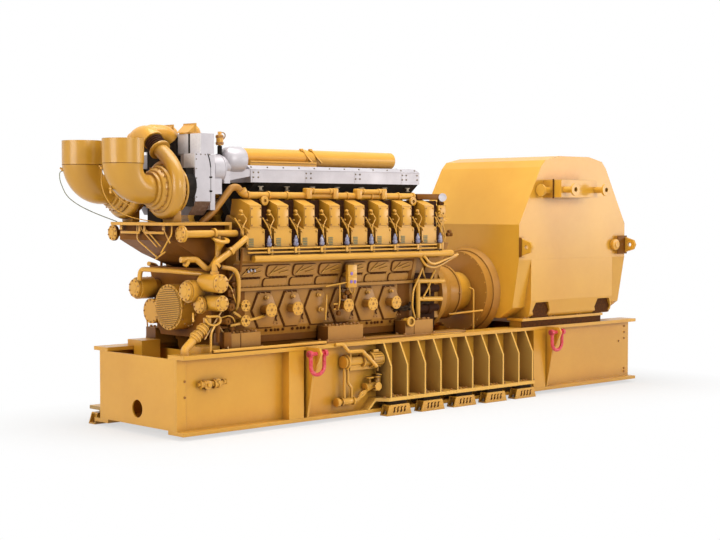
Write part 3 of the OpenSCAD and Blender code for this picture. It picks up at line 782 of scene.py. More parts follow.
pipes("drain_lines", [
    at_x(LINES_X, (0.109, 2.66), (0.109, 2.476), (-0.322, 2.261)),
    at_x(LINES_X, (0.03, 2.66), (0.0, 2.6), (-0.323, 2.388)), at_x(LINES_X, (-0.1, 2.6), (-0.4, 2.4)),
    at_x(LINES_X, (-0.468, 2.66), (-0.486, 2.592), (-0.602, 2.443)),
    at_x(LINES_X, (-0.642, 2.66), (-0.641, 2.556), (-0.409, 2.314)),
    [(-4.8, -0.42, 2.33), (-4.84, -0.26, 2.235)],
], 0.011, 0.04, CAST, 6, False)
braces = [((-0.48, 2.55), (-0.05, 2.585)), ((-0.5, 2.6), (-0.44, 2.66)), ((-0.08, 2.58), (-0.03, 2.66))]
braces = [((LINES_X - 0.008, *low), (LINES_X + 0.008, *high)) for low, high in braces]
slabs("line_brackets", braces, CAST)

clamp = [
    (-0.05, 0.055), (-0.05, 0.072), (-0.035, 0.078), (-0.03, 0.066), (-0.005, 0.066), (0.0, 0.082),
    (0.015, 0.082), (0.02, 0.066), (0.045, 0.066), (0.05, 0.055),
]
down = Vector((-0.35, 0, -0.3)).normalized()
spots = [pose((-4.56, -0.86, 1.352), down), pose((-4.66, -0.86, 1.266), down)]
rounds("suction_clamps", clamp, 20, spots, CAST)

# open test flanges beside the block, each on a short neck
flange = [
    (-0.16, 0.03), (0.0, 0.03), (0.0, 0.072), (0.004, 0.075), (0.02, 0.075), (0.024, 0.072), (0.024, 0.022),
    (0.004, 0.02),
]
TEST_X = -3.905
TEST_ROWS = (1.63, 1.435)
rounds("test_flanges", flange, 24, both([near(TEST_X, -0.9, z) for z in TEST_ROWS]), CAST)
spots = [spot for z in TEST_ROWS for spot in ring((TEST_X, -0.923, z), NEAR, 0.056, 6)]
fasten("test_flange_bolts", both(spots), 0.02)
pipes("test_flange_lines", [
    [(-3.83, -0.88, 1.435), (-3.6, -0.8, 1.45), (-3.42, -0.72, 1.47), (-3.4, -0.66, 1.47)],
    [(-4.05, -0.84, 1.55), (-3.98, -0.88, 1.5), (-3.92, -0.88, 1.45)],
    [(-4.1, -0.84, 1.38), (-3.97, -0.88, 1.4), (-3.93, -0.88, 1.435)],
], 0.018, 0.05, CAST)

# flared mouth of the charge air pipe
flare = [
    (-0.1, 0.04), (-0.05, 0.048), (0.0, 0.07), (0.03, 0.1), (0.035, 0.118), (0.055, 0.118), (0.06, 0.11),
    (0.06, 0.06), (0.02, 0.05),
]
rounds("charge_air_flares", flare, 28, [pose((-4.22, -0.79, 2.44), (0, -0.35, 0.93))], CAST)
spots = [
    pose((-4.33, -0.86, 2.16), (0.3, 0, 0.3)), pose((-4.1, -0.86, 2.33), (0.35, 0, 0.2)),
    pose((-4.62, -0.62, 2.19), (1, -0.2, -0.5)), upright(-4.36, -0.86, 2.06),
]
rounds("pipe_collars", band(0.02, 0.04, 0.055), 20, spots, CAST)

# ribbed face of the damper cover
RIB_STEP = 0.0245
RIB_REACH = 0.262
ribs = []
for y in [RIB_STEP * step for step in range(-10, 11)]:
    half = (RIB_REACH ** 2 - y ** 2) ** 0.5
    ribs.append(slab((-4.476, -half, SHAFT_Z + y - 0.007), (-4.461, half, SHAFT_Z + y + 0.007), 0.003, 1))
fit("damper_ribs", merge(ribs), CAST)
fasten("damper_bolts", ring((-4.454, 0, SHAFT_Z), OUT, 0.283, 24), 0.024, CAST)
fasten("damper_disc_bolts", both(ring((-4.44, 0.42, 1.52), OUT, 0.147, 12)), 0.024)

# small filters and brackets between the pumps and the block on the near side only, and thin lines on both
# sides
cans = []
for place, axis, radius, length in (
    ((-4.12, -0.8, 1.62), NEAR, 0.05, 0.12), ((-4.1, -0.78, 1.8), NEAR, 0.06, 0.1),
    ((-4.16, -0.76, 1.44), NEAR, 0.05, 0.13), ((-4.02, -0.76, 1.9), NEAR, 0.045, 0.09),
    ((-4.05, -0.8, 1.32), UP, 0.04, 0.12), ((-4.3, -0.84, 1.3), UP, 0.035, 0.1),
):
    can = [
        (-0.12, radius * 0.7), (0, radius * 0.7), (0, radius), (length * 0.8, radius),
        (length * 0.92, radius * 0.9), (length, radius * 0.6), (length, radius * 0.3),
        (length + 0.02, radius * 0.25),
    ]
    cans.append(placed(can, place, axis, 18))
fit("front_filters", merge(cans), SHADED)
brackets = [
    slab((-4.22, -0.8, 1.34), (-4.05, -0.66, 1.37), 0.006),
    slab((-4.2, -0.82, 1.7), (-3.99, -0.66, 1.725), 0.006),
    slab((-4.24, -0.9, 1.1), (-4.12, -0.76, 1.3), 0.008),
    slab((-4.06, -0.78, 1.5), (-4.03, -0.66, 2.08), 0.006),
]
fit("front_brackets", merge(brackets), SHADED)
pipes("front_thin_lines", [
    [(-4.2, -0.84, 1.95), (-4.12, -0.88, 1.88), (-4.06, -0.88, 1.72), (-4.0, -0.84, 1.66)],
    [(-4.22, -0.8, 1.86), (-4.1, -0.84, 1.98), (-4.0, -0.8, 2.06)],
    [(-4.24, -0.82, 1.48), (-4.14, -0.88, 1.52), (-4.06, -0.88, 1.46), (-3.99, -0.8, 1.36)],
    [(-4.25, -0.78, 1.4), (-4.18, -0.86, 1.24), (-4.18, -0.9, 1.09)],
    [(-3.98, -0.74, 2.1), (-3.95, -0.78, 2.0), (-3.92, -0.74, 1.84), (-3.92, -0.7, 1.74)],
], 0.01, 0.05, CAST, 6)

# ---------------------------------------------------------------- drive end of the engine

pipes("drive_end_hoses", [
    [
        (-0.67, -0.86, 2.2), (-0.63, -0.87, 2.14), (-0.56, -0.87, 2.06), (-0.42, -0.87, 2.02),
        (-0.25, -0.87, 2.05), (-0.05, -0.84, 2.12), (0.17, -0.8, 2.18),
    ],
    [
        (-0.63, -0.9, 2.2), (-0.6, -0.91, 2.17), (-0.53, -0.91, 2.1), (-0.42, -0.91, 2.07),
        (-0.28, -0.9, 2.1), (-0.1, -0.88, 2.15), (0.15, -0.84, 2.2),
    ],
], 0.019, 0.09, CAST, 10)
pipes("starter_pipes", [
    at_y(-0.75, (-0.63, 1.83), (-0.05, 1.81)), at_y(-0.75, (-0.59, 1.82), (-0.59, 1.12)),
    at_y(-0.75, (-0.59, 1.57), (-0.1, 1.55)),
], 0.034, 0.05, CAST, 12)
pipes("starter_lines", [
    at_y(-0.8, (-0.55, 2.02), (-0.6, 1.92), (-0.74, 1.7), (-0.76, 1.46), (-0.7, 1.3)),
    [(-0.24, -0.76, 1.98), (-0.34, -0.76, 1.84), (-0.38, -0.78, 1.76), (-0.52, -0.78, 1.58)],
    at_y(-0.7, (-0.45, 2.02), (-0.42, 1.9), (-0.3, 1.72), (-0.3, 1.6)),
    [(-0.6, -0.78, 1.3), (-0.5, -0.8, 1.2), (-0.5, -0.78, 1.1)],
], 0.014, 0.07, CAST)
starter = [
    (0, 0.05), (0, 0.085), (0.16, 0.085), (0.17, 0.075), (0.19, 0.075), (0.2, 0.09), (0.28, 0.09),
    (0.3, 0.06), (0.44, 0.055),
]
# painted shade: the starters and the slab behind them take the dark brown of shaded gaps
starters = [placed(starter, (-0.5, -0.62, z), AXLE, 24) for z in (1.7, 1.42)]
fit("air_starters", mirrored(starters), DARK_GAP)
recess = [((-0.6, -0.57, 1.12), (-0.06, -0.56, 1.93))]
slabs("starter_recess", recess, DARK_GAP, 0.003)
pipes("starter_hoses", [
    [
        (-1.04, -0.68, 1.46), (-0.96, -0.71, 1.49), (-0.89, -0.72, 1.44), (-0.8, -0.72, 1.48),
        (-0.7, -0.69, 1.42),
    ],
    [
        (-1.0, -0.67, 1.41), (-0.92, -0.71, 1.45), (-0.84, -0.72, 1.41), (-0.76, -0.71, 1.44),
        (-0.69, -0.69, 1.52),
    ],
    [
        (-0.62, -0.7, 1.5), (-0.56, -0.72, 1.46), (-0.46, -0.72, 1.52), (-0.34, -0.7, 1.49),
        (-0.22, -0.68, 1.54),
    ],
], 0.02, 0.05, RUBBER)
port = [(-0.1, 0.05), (0, 0.05), (0, 0.07), (0.016, 0.076), (0.03, 0.07), (0.03, 0.045), (0.0, 0.04)]
rounds("barring_ports", port, 24, both([near(-0.885, -0.885, 1.263)]), CAST)
spots = ring((0.664, 0, SHAFT_Z), OUT, 0.408, 1) + ring((0.24, 0, SHAFT_Z), AXLE, 0.52, 32)
fasten("drum_bolts", spots, 0.034)
fasten("coupling_bolts", ring((0.74, 0, SHAFT_Z), OUT, 0.316, 16), 0.03, CAST)
pipes("coupling_guard_posts", [
    [(0.87, -0.5, 1.04), (0.87, -0.5, 1.64), (0.87, -0.42, 1.66)], [(0.41, -0.42, 1.28), (0.9, -0.66, 1.33)]
], 0.014, 0.03, CAST)
slabs("service_plates", [((-0.47, -0.96, DECK), (0.16, -0.62, 1.062))], PLATE)

# ---------------------------------------------------------------- instruments

boxes = [
    slab((-2.066, -0.865, 1.79), (-1.9, -0.805, 2.105), 0.006),
    slab((-2.02, -0.81, 1.93), (-1.95, -0.69, 2.0), 0.006),
    slab((-2.058, -0.868, 1.945), (-1.908, -0.86, 2.02), 0.003),
    slab((-2.058, -0.868, 1.81), (-1.908, -0.86, 1.925), 0.003),
    slab((-0.078, -0.665, 2.742), (0.08, -0.6, 2.92), 0.008),
    slab((-0.12, -0.665, 2.69), (0.1, -0.62, 2.712)), slab((-0.02, -0.64, 2.37), (0.05, -0.58, 3.0), 0.006),
    slab((0.045, -0.64, 2.5), (0.06, -0.58, 2.7)),
]
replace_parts(fit("instrument_set", merge(boxes), CAST), "instruments")
spots = [near(x, -0.868, z) for x, z in ((-2.006, 1.982), (-2.012, 1.871), (-1.944, 1.868))]
rounds("control_lamps", [(-0.002, 0.022), (0.004, 0.024), (0.008, 0.02)], 16, spots, VIOLET)
pipes("control_cables", [
    [(-2.164, -0.8, 1.845), (-2.164, -0.8, 1.6), (-2.19, -0.79, 1.49)],
    [(-2.42, -0.79, 1.815), (-2.06, -0.83, 1.862)],
    [(-2.01, -0.83, 1.8), (-2.0, -0.82, 1.74), (-1.92, -0.79, 1.7), (-1.9, -0.72, 1.7)],
    [(-2.37, -0.76, 1.7), (-2.39, -0.78, 1.63), (-2.41, -0.78, 1.36)],
    at_y(-0.78, (-2.26, 1.57), (-2.17, 1.57)), at_y(-0.78, (-2.26, 1.5), (-2.17, 1.5)),
    [(-1.93, -0.84, 1.8), (-1.89, -0.8, 1.72), (-1.93, -0.74, 1.66)],
], 0.011, 0.05, CAST, 8, False)
spots = [
    near(-2.03, -0.8, 1.72), near(-1.96, -0.78, 1.66), near(-2.08, -0.79, 1.66), upright(-2.2, -0.77, 1.52),
    near(-2.16, -0.77, 1.44),
]
rounds(
    "control_glands", [(-0.03, 0.02), (-0.02, 0.034), (0.02, 0.034), (0.03, 0.02)], 12, spots, SHADED,
)
dial = [(-0.05, 0.045), (0, 0.045), (0, 0.058), (0.012, 0.062), (0.02, 0.06), (0.02, 0.05), (0.012, 0.048)]
rounds("pressure_gauges", dial, 24, [pose((0.005, -0.665, 3.035), (-0.55, -0.82, 0))], SILVER)
blocks = [
    slab((-0.045, -0.662, 2.925), (0.045, -0.6, 2.965)), slab((-0.022, -0.6, 2.4), (0.062, -0.575, 2.73)),
    slab((-0.135, -0.6, 2.4), (-0.09, -0.56, 2.98)),
    slab((-0.04, -0.668, 2.86), (-0.02, -0.66, 2.88), 0.002, 1),
    slab((0.015, -0.668, 2.79), (0.035, -0.66, 2.81), 0.002, 1),
]
fit("gauge_blocks", merge(blocks), DARK_SEAM)
pipes("gauge_lines", [
    [
        (-0.135, -0.66, 2.82), (-0.1, -0.68, 2.7), (0.02, -0.68, 2.6), (0.05, -0.68, 2.48),
        (0.03, -0.68, 2.38),
    ],
    [(-0.12, -0.66, 2.64), (-0.04, -0.68, 2.58), (0.0, -0.68, 2.5), (0.08, -0.66, 2.44)],
    [(-0.16, -0.6, 2.95), (0.02, -0.6, 2.955)],
], 0.01, 0.05, CAST, 8, False)
spots = [near(0.16, -0.66, 2.53), upright(0.19, -0.66, 2.49), along(0.13, -0.66, 2.49)]
rounds(
    "gauge_valves", [(-0.03, 0.016), (-0.02, 0.03), (0.02, 0.03), (0.03, 0.016)], 10, spots, SHADED,
)

# ---------------------------------------------------------------- base frame

spots = [near(-4.83, -0.852, 0.72), near(-4.83, -0.852, 0.52)]
spots += [near(4.2, -0.84, z) for z in (0.92, 0.82, 0.72, 0.22, 0.17)] + [near(4.05, -0.84, 0.68)]
fasten("web_bolts", both(spots), 0.034)
LEDGE_Z = 0.25
spots = []
for x in FEET:
    spots += [upright(x + dx, y, LEDGE_Z) for dx in (-0.1, -0.04, 0.04, 0.1) for y in (-0.9, -1.06)]
    spots += [upright(x + dx, -1.09, LEDGE_Z) for dx in (-0.24, 0.24)]
fasten("ledge_bolts", both(spots), 0.042)
nut = [(0, 0.5), (0.08, 0.5), (0.1, 0.42), (0.4, 0.42), (0.45, 0.36), (0.45, 0.24), (0.85, 0.22)]
spots = [upright(x + dx, -1.067, 0.02, 0.05) for x in FEET for dx in (-0.203, 0.203)]
rounds("foot_nuts", nut, 6, both(spots), STEEL)
layers = (0.152, 0.168, 0.184)
pads = [((x - 0.17, -1.118, z), (x + 0.17, -1.0, z + 0.011)) for x in FEET for z in layers]
slabs("foot_rubbers", pads, RUBBER)
# painted shadow: dark S-shaped tubes over the isolator slots
rims = []
for x in [foot + dx for foot in FEET for dx in (-0.102, -0.034, 0.034, 0.102)]:
    slot_shadow = at_y(
        -1.14, (x + 0.024, 0.112), (x + 0.006, 0.114), (x - 0.005, 0.094), (x + 0.008, 0.074),
        (x + 0.005, 0.05), (x - 0.018, 0.044),
    )
    rims.append(tube(slot_shadow, 0.0075, 0.01, 6))
fit("foot_slot_shadows", mirrored(rims), DARK_SEAM)

valve = [
    (-0.03, 0.03), (0, 0.03), (0, 0.062), (0.02, 0.062), (0.024, 0.045), (0.07, 0.045), (0.075, 0.058),
    (0.095, 0.058), (0.1, 0.03), (0.13, 0.026),
]
spots = [
    near(-4.52, -0.84, 0.66), near(-4.35, -0.84, 0.68, 0.8), along(-4.42, -0.9, 0.66, 0.9),
    along(-4.63, -0.9, 0.67, 0.8), along(-4.27, -0.9, 0.68, 0.6),
]
rounds("base_drain_valves", valve, 20, both(spots), CAST)
routes = [at_y(-0.9, (-4.64, 0.68), (-4.25, 0.67)), at_y(-0.9, (-4.5, 0.68), (-4.52, 0.58))]
pipes("base_drain_pipes", routes, 0.028, 0.05, CAST, 10)

wheel = [(0, 0.02), (0.0, 0.012), (0.09, 0.012), (0.09, 0.055), (0.1, 0.06), (0.11, 0.055), (0.11, 0.02)]
spots = [
    upright(-1.74, -0.95, 0.44), upright(-1.6, -0.95, 0.44), near(-1.68, -0.96, 0.42),
    along(-1.56, -0.93, 0.5),
]
rounds("pump_valves", wheel, 16, spots, CAST)
body = [
    (-0.12, 0.035), (-0.12, 0.06), (-0.1, 0.06), (-0.095, 0.04), (-0.04, 0.05), (0.04, 0.05), (0.095, 0.04),
    (0.1, 0.06), (0.12, 0.06), (0.12, 0.035),
]
spots = [
    pose((-1.7, -0.93, 0.42), (1, 0, 0.1)), pose((-1.58, -0.93, 0.46), (0.2, 0, 1)),
    along(-2.16, -0.945, 0.245, 0.95),
]
rounds("pump_valve_bodies", body, 20, spots, CAST)
pipes("pump_lines", [
    at_y(-0.93, (-1.58, 0.62), (-1.56, 0.68), (-1.6, 0.72)),
    at_y(-0.95, (-1.78, 0.4), (-1.86, 0.3), (-2.0, 0.25)), at_y(-0.93, (-1.46, 0.4), (-1.36, 0.52)),
    at_y(-0.98, (-2.14, 0.9), (-2.14, 0.8)),
], 0.02, 0.05, CAST, 10, False)
PUMP_AXIS = (-0.945, 0.785)
FIN_COUNT = 16
fins = []
for step in range(FIN_COUNT):
    fin = slab((-1.73, -0.003, 0.098), (-1.56, 0.003, 0.116), 0.002, 1)
    fin.data.transform(
        Matrix.Translation((0, *PUMP_AXIS)) @ Matrix.Rotation(2 * pi * step / FIN_COUNT, 4, "X")
    )
    fins.append(fin)
fit("pump_motor_fins", merge(fins), CAST)
flange = [(-0.016, 0.06), (-0.016, 0.1), (-0.01, 0.106), (0.01, 0.106), (0.016, 0.1), (0.016, 0.06)]
spots = [along(-2.19, *PUMP_AXIS), along(-1.89, *PUMP_AXIS, 0.9), along(-1.735, *PUMP_AXIS)]
rounds("pump_flanges", flange, 28, spots, CAST)
spots = ring((-2.206, *PUMP_AXIS), OUT, 0.084, 8) + ring((-1.906, *PUMP_AXIS), OUT, 0.074, 8)
fasten("pump_bolts", spots, 0.02)
fit("pump_terminal_box", slab((-1.7, -0.985, 0.885), (-1.6, -0.905, 0.925), 0.008), CAST)

FOOT_TOP = 1.275
spots = []
for low, high in ((-4.21, -3.61), (-2.43, -1.78), (-0.95, -0.39)):
    for y in (-0.74, -0.82):
        spots += row((low + 0.06, y, FOOT_TOP), (high - 0.06, y, FOOT_TOP), 5, UP)
    spots += [upright(x, y, 1.075) for x in (low - 0.015, high + 0.015) for y in (-0.86, -0.7)]
fasten("engine_foot_bolts", both(spots), 0.05)
slabs("engine_sole_plates", [((-2.92, -0.88, DECK), (0.29, -0.62, 1.078))], SHADE_GOLD)
splits = [((x - 0.006, -0.857, 1.06), (x + 0.006, -0.853, 1.272)) for x in (-3.939, -0.773)]
slabs("engine_foot_splits", splits, DARK_SEAM, 0.001, 1)
spots = [upright(x + dx, -0.975, 1.19) for x in (1.545, 2.165, 2.795, 3.305) for dx in (-0.04, 0.04)]
fasten("generator_foot_bolts", both(spots), 0.045)

pin = [(0, 0.03), (0, 0.044), (0.02, 0.047), (0.03, 0.044), (0.034, 0.034), (0.034, 0.02)]
spots = []
for x in (-2.93, 2.016):
    spots += [pose((x - 0.13, -1.185, 0.965), OUT, 0, 0.8), along(x + 0.162, -1.185, 0.965, 0.55)]
rounds("shackle_pin_heads", pin, 20, both(spots), RED_IN_SHADE)

# ---------------------------------------------------------------- generator

aprons = [((1.5675, -1.0507, 1.4555), (3.5835, -1.04, 2.094))]
slabs("side_aprons", aprons, PLATE, 0.0006, 1)
# painted shade: dark plates in the apron slots and behind the generator feet, where shade falls
recess_shades = [slab((x + 0.004, -0.998, 1.2), (x + 0.414, -0.989, 1.428), 0.001, 1) for x in (1.6265, 3.1575)]
recess_shades.append(slab((1.445, -0.972, DECK), (3.395, -0.9605, 1.149), 0.002, 1))
fit("housing_recess_shades", mirrored(recess_shades), DARK_SEAM)
joint = slab((1.834, -1.266, 3.026), (1.8425, -1.242, 3.324), 0.002, 1)
fit("cooler_box_joint", joint, DARK_SEAM)
# painted shade: dark plates over the lug pads' faces
pads = [
    slab((3.655, -1.102, 2.138), (3.91, -1.0945, 2.432), 0.003),
    slab((1.278, -1.1, 2.136), (1.286, -1.05, 2.434), 0.002),
]
fit("lug_pad_shades", mirrored(pads), SHADED)
spots = [spot for x in (1.925, 2.68) for spot in ring((x, -1.59, 3.16), NEAR, 0.076, 8)]
fasten("cooler_flange_bolts", spots, 0.024)
boss = [(-0.05, 0.09), (0, 0.09), (0.01, 0.082), (0.014, 0.05), (0.03, 0.046)]
rounds("generator_bosses", boss, 24, both([near(3.6095, -1.11, 2.29)]), PLATE)
fasten("bell_bolts", ring((1.05, 0, SHAFT_Z), OUT, 0.6, 24), 0.034, CAST)

# ---------------------------------------------------------------- turbochargers and air path

RING_AT = Vector((-4.81, -0.322, 3.618))
RING_WAY = Vector((0, 0.76, 0.65)).normalized()


def compressor():
    """Cover with stepped rings, the scroll that grows round it, and its outlet up to the clamp ring."""
    steps = [
        (0, 0.176), (0, 0.212), (0.012, 0.22), (0.03, 0.222), (0.045, 0.216), (0.05, 0.24), (0.07, 0.258),
        (0.095, 0.264), (0.108, 0.258), (0.115, 0.284), (0.135, 0.298), (0.155, 0.296), (0.17, 0.286),
        (0.2, 0.3), (0.26, 0.31), (0.36, 0.29),
    ]
    cover = placed(steps, (-5.075, TURBO_Y, TURBO_Z), AXLE, 64)
    wrap = 285
    route, radii = [], []
    for turn in span(-wrap, 0, 46):
        share = (turn + wrap) / wrap
        reach = 0.325 - 0.05 * share
        route.append((-4.83, TURBO_Y - reach * cos(radians(turn)), TURBO_Z + reach * sin(radians(turn))))
        radii.append(0.04 + 0.062 * share ** 0.7)
    start = Vector(route[-1])
    corner = start + Vector((0, -0.012, 0.3))
    for t in span(0.06, 1, 14):
        route.append(start.lerp(corner, t).lerp(corner.lerp(RING_AT, t), t))
        radii.append(0.102 - 0.008 * t)
    scroll = swept(route, radii, 28)
    hub = [(0, 0.2), (0.03, 0.215), (0.06, 0.2), (0.08, 0.17), (0.12, 0.17), (0.15, 0.2)]
    flange = [(0, 0.24), (0, 0.292), (0.006, 0.298), (0.03, 0.298), (0.036, 0.29), (0.036, 0.24)]
    foot = slab((-4.78, TURBO_Y - 0.12, 2.7), (-4.66, TURBO_Y + 0.12, 2.97), 0.012)
    return merge([
        cover, scroll, placed(hub, (-4.79, TURBO_Y, TURBO_Z), AXLE),
        placed(flange, (-4.7, TURBO_Y, TURBO_Z), AXLE), foot,
    ])


pair("compressor", compressor(), DUCT, "turbo")
fasten("compressor_bolts", both(ring((-4.985, TURBO_Y, TURBO_Z), OUT, 0.275, 20)), 0.024)
fasten("turbine_flange_bolts", both(ring((-4.7, TURBO_Y, TURBO_Z), OUT, 0.277, 24)), 0.034)

CUP_X = -5.455
BEND_Z = 3.43


def elbow():
    """Open intake cup that runs into a bend and narrows to the compressor's mouth."""
    base, outer, inner = BEND_Z - 0.005, 0.2572, 0.247
    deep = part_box("air_elbow_near")[1][2] - base
    cup = placed([
        (0, 0.25), (0, outer), (deep, outer), (deep, inner), (0.02, inner),
    ], (CUP_X, TURBO_Y, base), UP, 64)
    route, radii = [Vector((CUP_X, TURBO_Y, BEND_Z + 0.015))], [0.256]
    sweep = BEND_Z - TURBO_Z
    for turn in span(0, 90, 18):
        x = CUP_X + sweep * (1 - cos(radians(turn)))
        route.append(Vector((x, TURBO_Y, BEND_Z - sweep * sin(radians(turn)))))
        radii.append(0.256 - 0.074 * turn / 90)
    route.append(Vector((-5.056, TURBO_Y, TURBO_Z)))
    radii.append(0.18)
    return merge([cup, swept(route, radii, 40)])


pair("intake_elbow", elbow(), DUCT, "air_elbow")
spots = both([upright(CUP_X, TURBO_Y, BEND_Z)])
rounds("elbow_seams", band(0.003, 0.2565, 0.2578), 64, spots, DARK_SEAM)


def arch():
    """Cross duct from one outlet over to the other, lipped at each mouth, and its branch to the cooler."""
    start = RING_AT + 0.19 * RING_WAY
    tilt = atan2(RING_WAY.z, RING_WAY.y)
    bow = -start.y / sin(tilt)
    route = []
    for turn in span(tilt, -tilt, 16):
        route.append((start.x, -bow * sin(turn), start.z + bow * (cos(turn) - cos(tilt))))
    cross = swept(route, [0.128] * len(route), 32)
    lip = placed(band(0.012, 0.124, 0.137), start, RING_WAY)
    branch_x, branch_z, bend = -4.567, 3.836, 0.19
    route = [(-4.81, 0, start.z + bow * (1 - cos(tilt))), (-4.7, 0, branch_z), (branch_x, 0, branch_z)]
    route += [(branch_x + bend * sin(turn), 0, branch_z - bend * (1 - cos(turn))) for turn in span(0, 0.9, 6)]
    branch = swept(route, [0.118] * len(route), 28)
    return merge([cross, branch] + across([lip]))


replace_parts(fit("cross_duct", arch(), PLATE), "air_ducts")
folds = [(0.0, 0.092)]
for rise in [0.034 * step for step in range(5)]:
    folds += [(0.012 + rise, 0.122), (0.026 + rise, 0.122), (0.036 + rise, 0.1)]
pair("outlet_bellows", placed(folds + [(0.185, 0.11)], RING_AT, RING_WAY), DARK_GAP)
clamp = [(-0.018, 0.09), (-0.018, 0.12), (-0.01, 0.14), (0.01, 0.14), (0.018, 0.12), (0.018, 0.095)]
pair("clamp_rings", placed(clamp, RING_AT, RING_WAY), DUCT)
fasten("clamp_ring_bolts", both(ring(RING_AT + 0.01 * RING_WAY, RING_WAY, 0.127, 10)), 0.02)

leads = [
    tube([
        (-5.66, -0.31, 3.36), (-5.679, -0.31, 3.21), (-5.669, -0.33, 3.109), (-5.637, -0.36, 2.995),
        (-5.562, -0.4, 2.881), (-5.457, -0.43, 2.819), (-5.368, -0.45, 2.776), (-5.2, -0.45, 2.74),
        (-4.94, -0.4, 2.705),
    ], 0.006, 0.2, 6),
    tube([
        (-5.645, -0.31, 3.36), (-5.6, -0.36, 3.2), (-5.597, -0.4, 3.126), (-5.59, -0.45, 3.08),
        (-5.5, -0.455, 2.985), (-5.3, -0.46, 2.88),
    ], 0.007, 0.1, 6),
]
fit("sensor_leads", merge(leads), CAST)
far_lead = tube([
    (-5.65, 0.57, 3.36), (-5.7, 0.6, 3.34), (-5.7, 0.6, 3.236), (-5.633, 0.56, 3.033),
    (-5.482, 0.52, 2.919), (-5.329, 0.48, 2.842), (-5.162, 0.46, 2.778), (-4.94, 0.45, 2.705),
], 0.006, 0.2, 6)
fit("far_lead", far_lead, GREEN_GREY)
sensor = [
    (-0.05, 0.012), (-0.05, 0.018), (0, 0.018), (0, 0.026), (0.02, 0.026), (0.024, 0.014), (0.05, 0.012),
]
spots = [
    pose((-5.655, -0.31, 3.375), (-0.7, 0.3, 0.4)), upright(-5.596, -0.4, 3.11),
    pose((-5.655, 0.58, 3.365), (-0.5, 0.5, 0.4)),
]
rounds("sensors", sensor, 12, spots, CAST)

# ---------------------------------------------------------------- turbine casings

END_X = -4.3745
SIDE_Y = -0.637
seams = [slab((END_X, -0.375, 3.574), (-4.3695, -0.336, 3.832), 0.001, 1)]
for z in (3.262, 3.084):
    seams.append(slab((-4.265, -0.642, z), (-4.222, -0.6355, z + 0.022), 0.002, 1))
seams.append(tube(at_y(SIDE_Y, (-4.29, 3.572), (-4.262, 3.5), (-4.243, 3.4)), 0.007, 0.05, 6))
seams.append(tube(at_y(SIDE_Y, (-4.243, 3.4), (-4.243, 2.97)), 0.003, 0.05, 6))
fit("casing_joints", mirrored(seams), BLACK)
# painted light: pale sheets on the casings' end faces, brighter than the shield metal they cover
sheets = [
    slab((END_X, low, 3.578), (-4.3705, high, 3.83), 0.001, 1)
    for low, high in ((-0.6, -0.376), (-0.335, -0.115))
]
sheets = across(sheets) + [slab((-4.4945, -0.632, 3.392), (-4.4905, -0.4, 3.572), 0.001, 1)]
fit("casing_end_sheets", merge(sheets), PAINTED_LIGHT_SHEET)
# painted shade: a dark sheet on each turbine casing's underside
sole = slab((-0.1245, -0.1165, 0.0), (0.1245, 0.1165, 0.003), 0.001, 1)
sole.data.transform(pose((-4.365, -0.558, 2.878), (0, -0.748, -0.663)))
fit("casing_soles", mirrored([sole]), SHADE_SHEET)
dome = [
    (-0.17, 0.05), (-0.16, 0.09), (-0.135, 0.13), (-0.095, 0.158), (-0.04, 0.17), (0.03, 0.173),
    (0.12, 0.172), (0.148, 0.164), (0.162, 0.148), (0.166, 0.1),
]
bands = [placed(band(0.006, 0.186, 0.196), (x, -0.42, 3.385), AXLE) for x in (-3.972, -4.14)]
bands.append(placed(dome, (-3.735, -0.42, 3.513), AXLE))
fit("casing_bands", mirrored(bands), SILVER)
spots = row(
    (-4.47, -0.636, 3.56), (-4.26, -0.636, 3.56), 4, NEAR,
) + row((-4.47, -0.636, 3.02), (-4.47, -0.636, 3.5), 5, NEAR)
fasten("casing_screws", both(spots), 0.018, STEEL)
VENT = (-3.93, -0.42)
rounds(
    "vent_stems", [(0, 0.021), (0, 0.031), (0.12, 0.031), (0.12, 0.021)], 16, both([upright(*VENT, 3.566)]),
    BLACK,
)
loop = at_y(-0.42, (-3.93, 3.86), (-3.86, 3.862), (-3.835, 3.83), (-3.85, 3.79), (-3.905, 3.755))
pipes("vent_valve_loops", [loop], 0.007, 0.03, SHADE_GOLD, 6)
nut = [(0, 0.044), (0, 0.054), (0.03, 0.054), (0.03, 0.044)]
rounds("vent_valve_nuts", nut, 6, both([upright(*VENT, z) for z in (3.705, 3.79)]), DARK_BOLT)
lugs = [slab((x - 0.022, -0.02, 3.675), (x + 0.022, 0.03, 3.712), 0.008) for x in (-2.16, -1.99)]
for x in (-2.15, -1.98):
    lugs.append(tube([(x, -0.01, 3.69), (x + 0.04, -0.062, 3.6), (x + 0.1, -0.11, 3.51)], 0.014, 0.03))
lugs.append(tube([(-3.19, -0.152, 3.5), (-2.02, -0.152, 3.5)], 0.008, 0.03, 6))
fit("tube_clamps", merge(lugs), CAST)
posts = []
for x in [-3.29 + PITCH * step for step in range(7)]:
    posts.append(slab((x - 0.02, -0.475, 3.115), (x + 0.024, -0.462, 3.17)))
    posts.append(slab((x - 0.045, -0.48, 3.16), (x + 0.045, -0.455, 3.172), 0.003))
    posts.append(slab((x - 0.03, -0.485, 3.112), (x + 0.04, -0.455, 3.122), 0.003))
fit("shield_posts", mirrored(posts), STEEL)

# ---------------------------------------------------------------- air headers and cylinder gaps


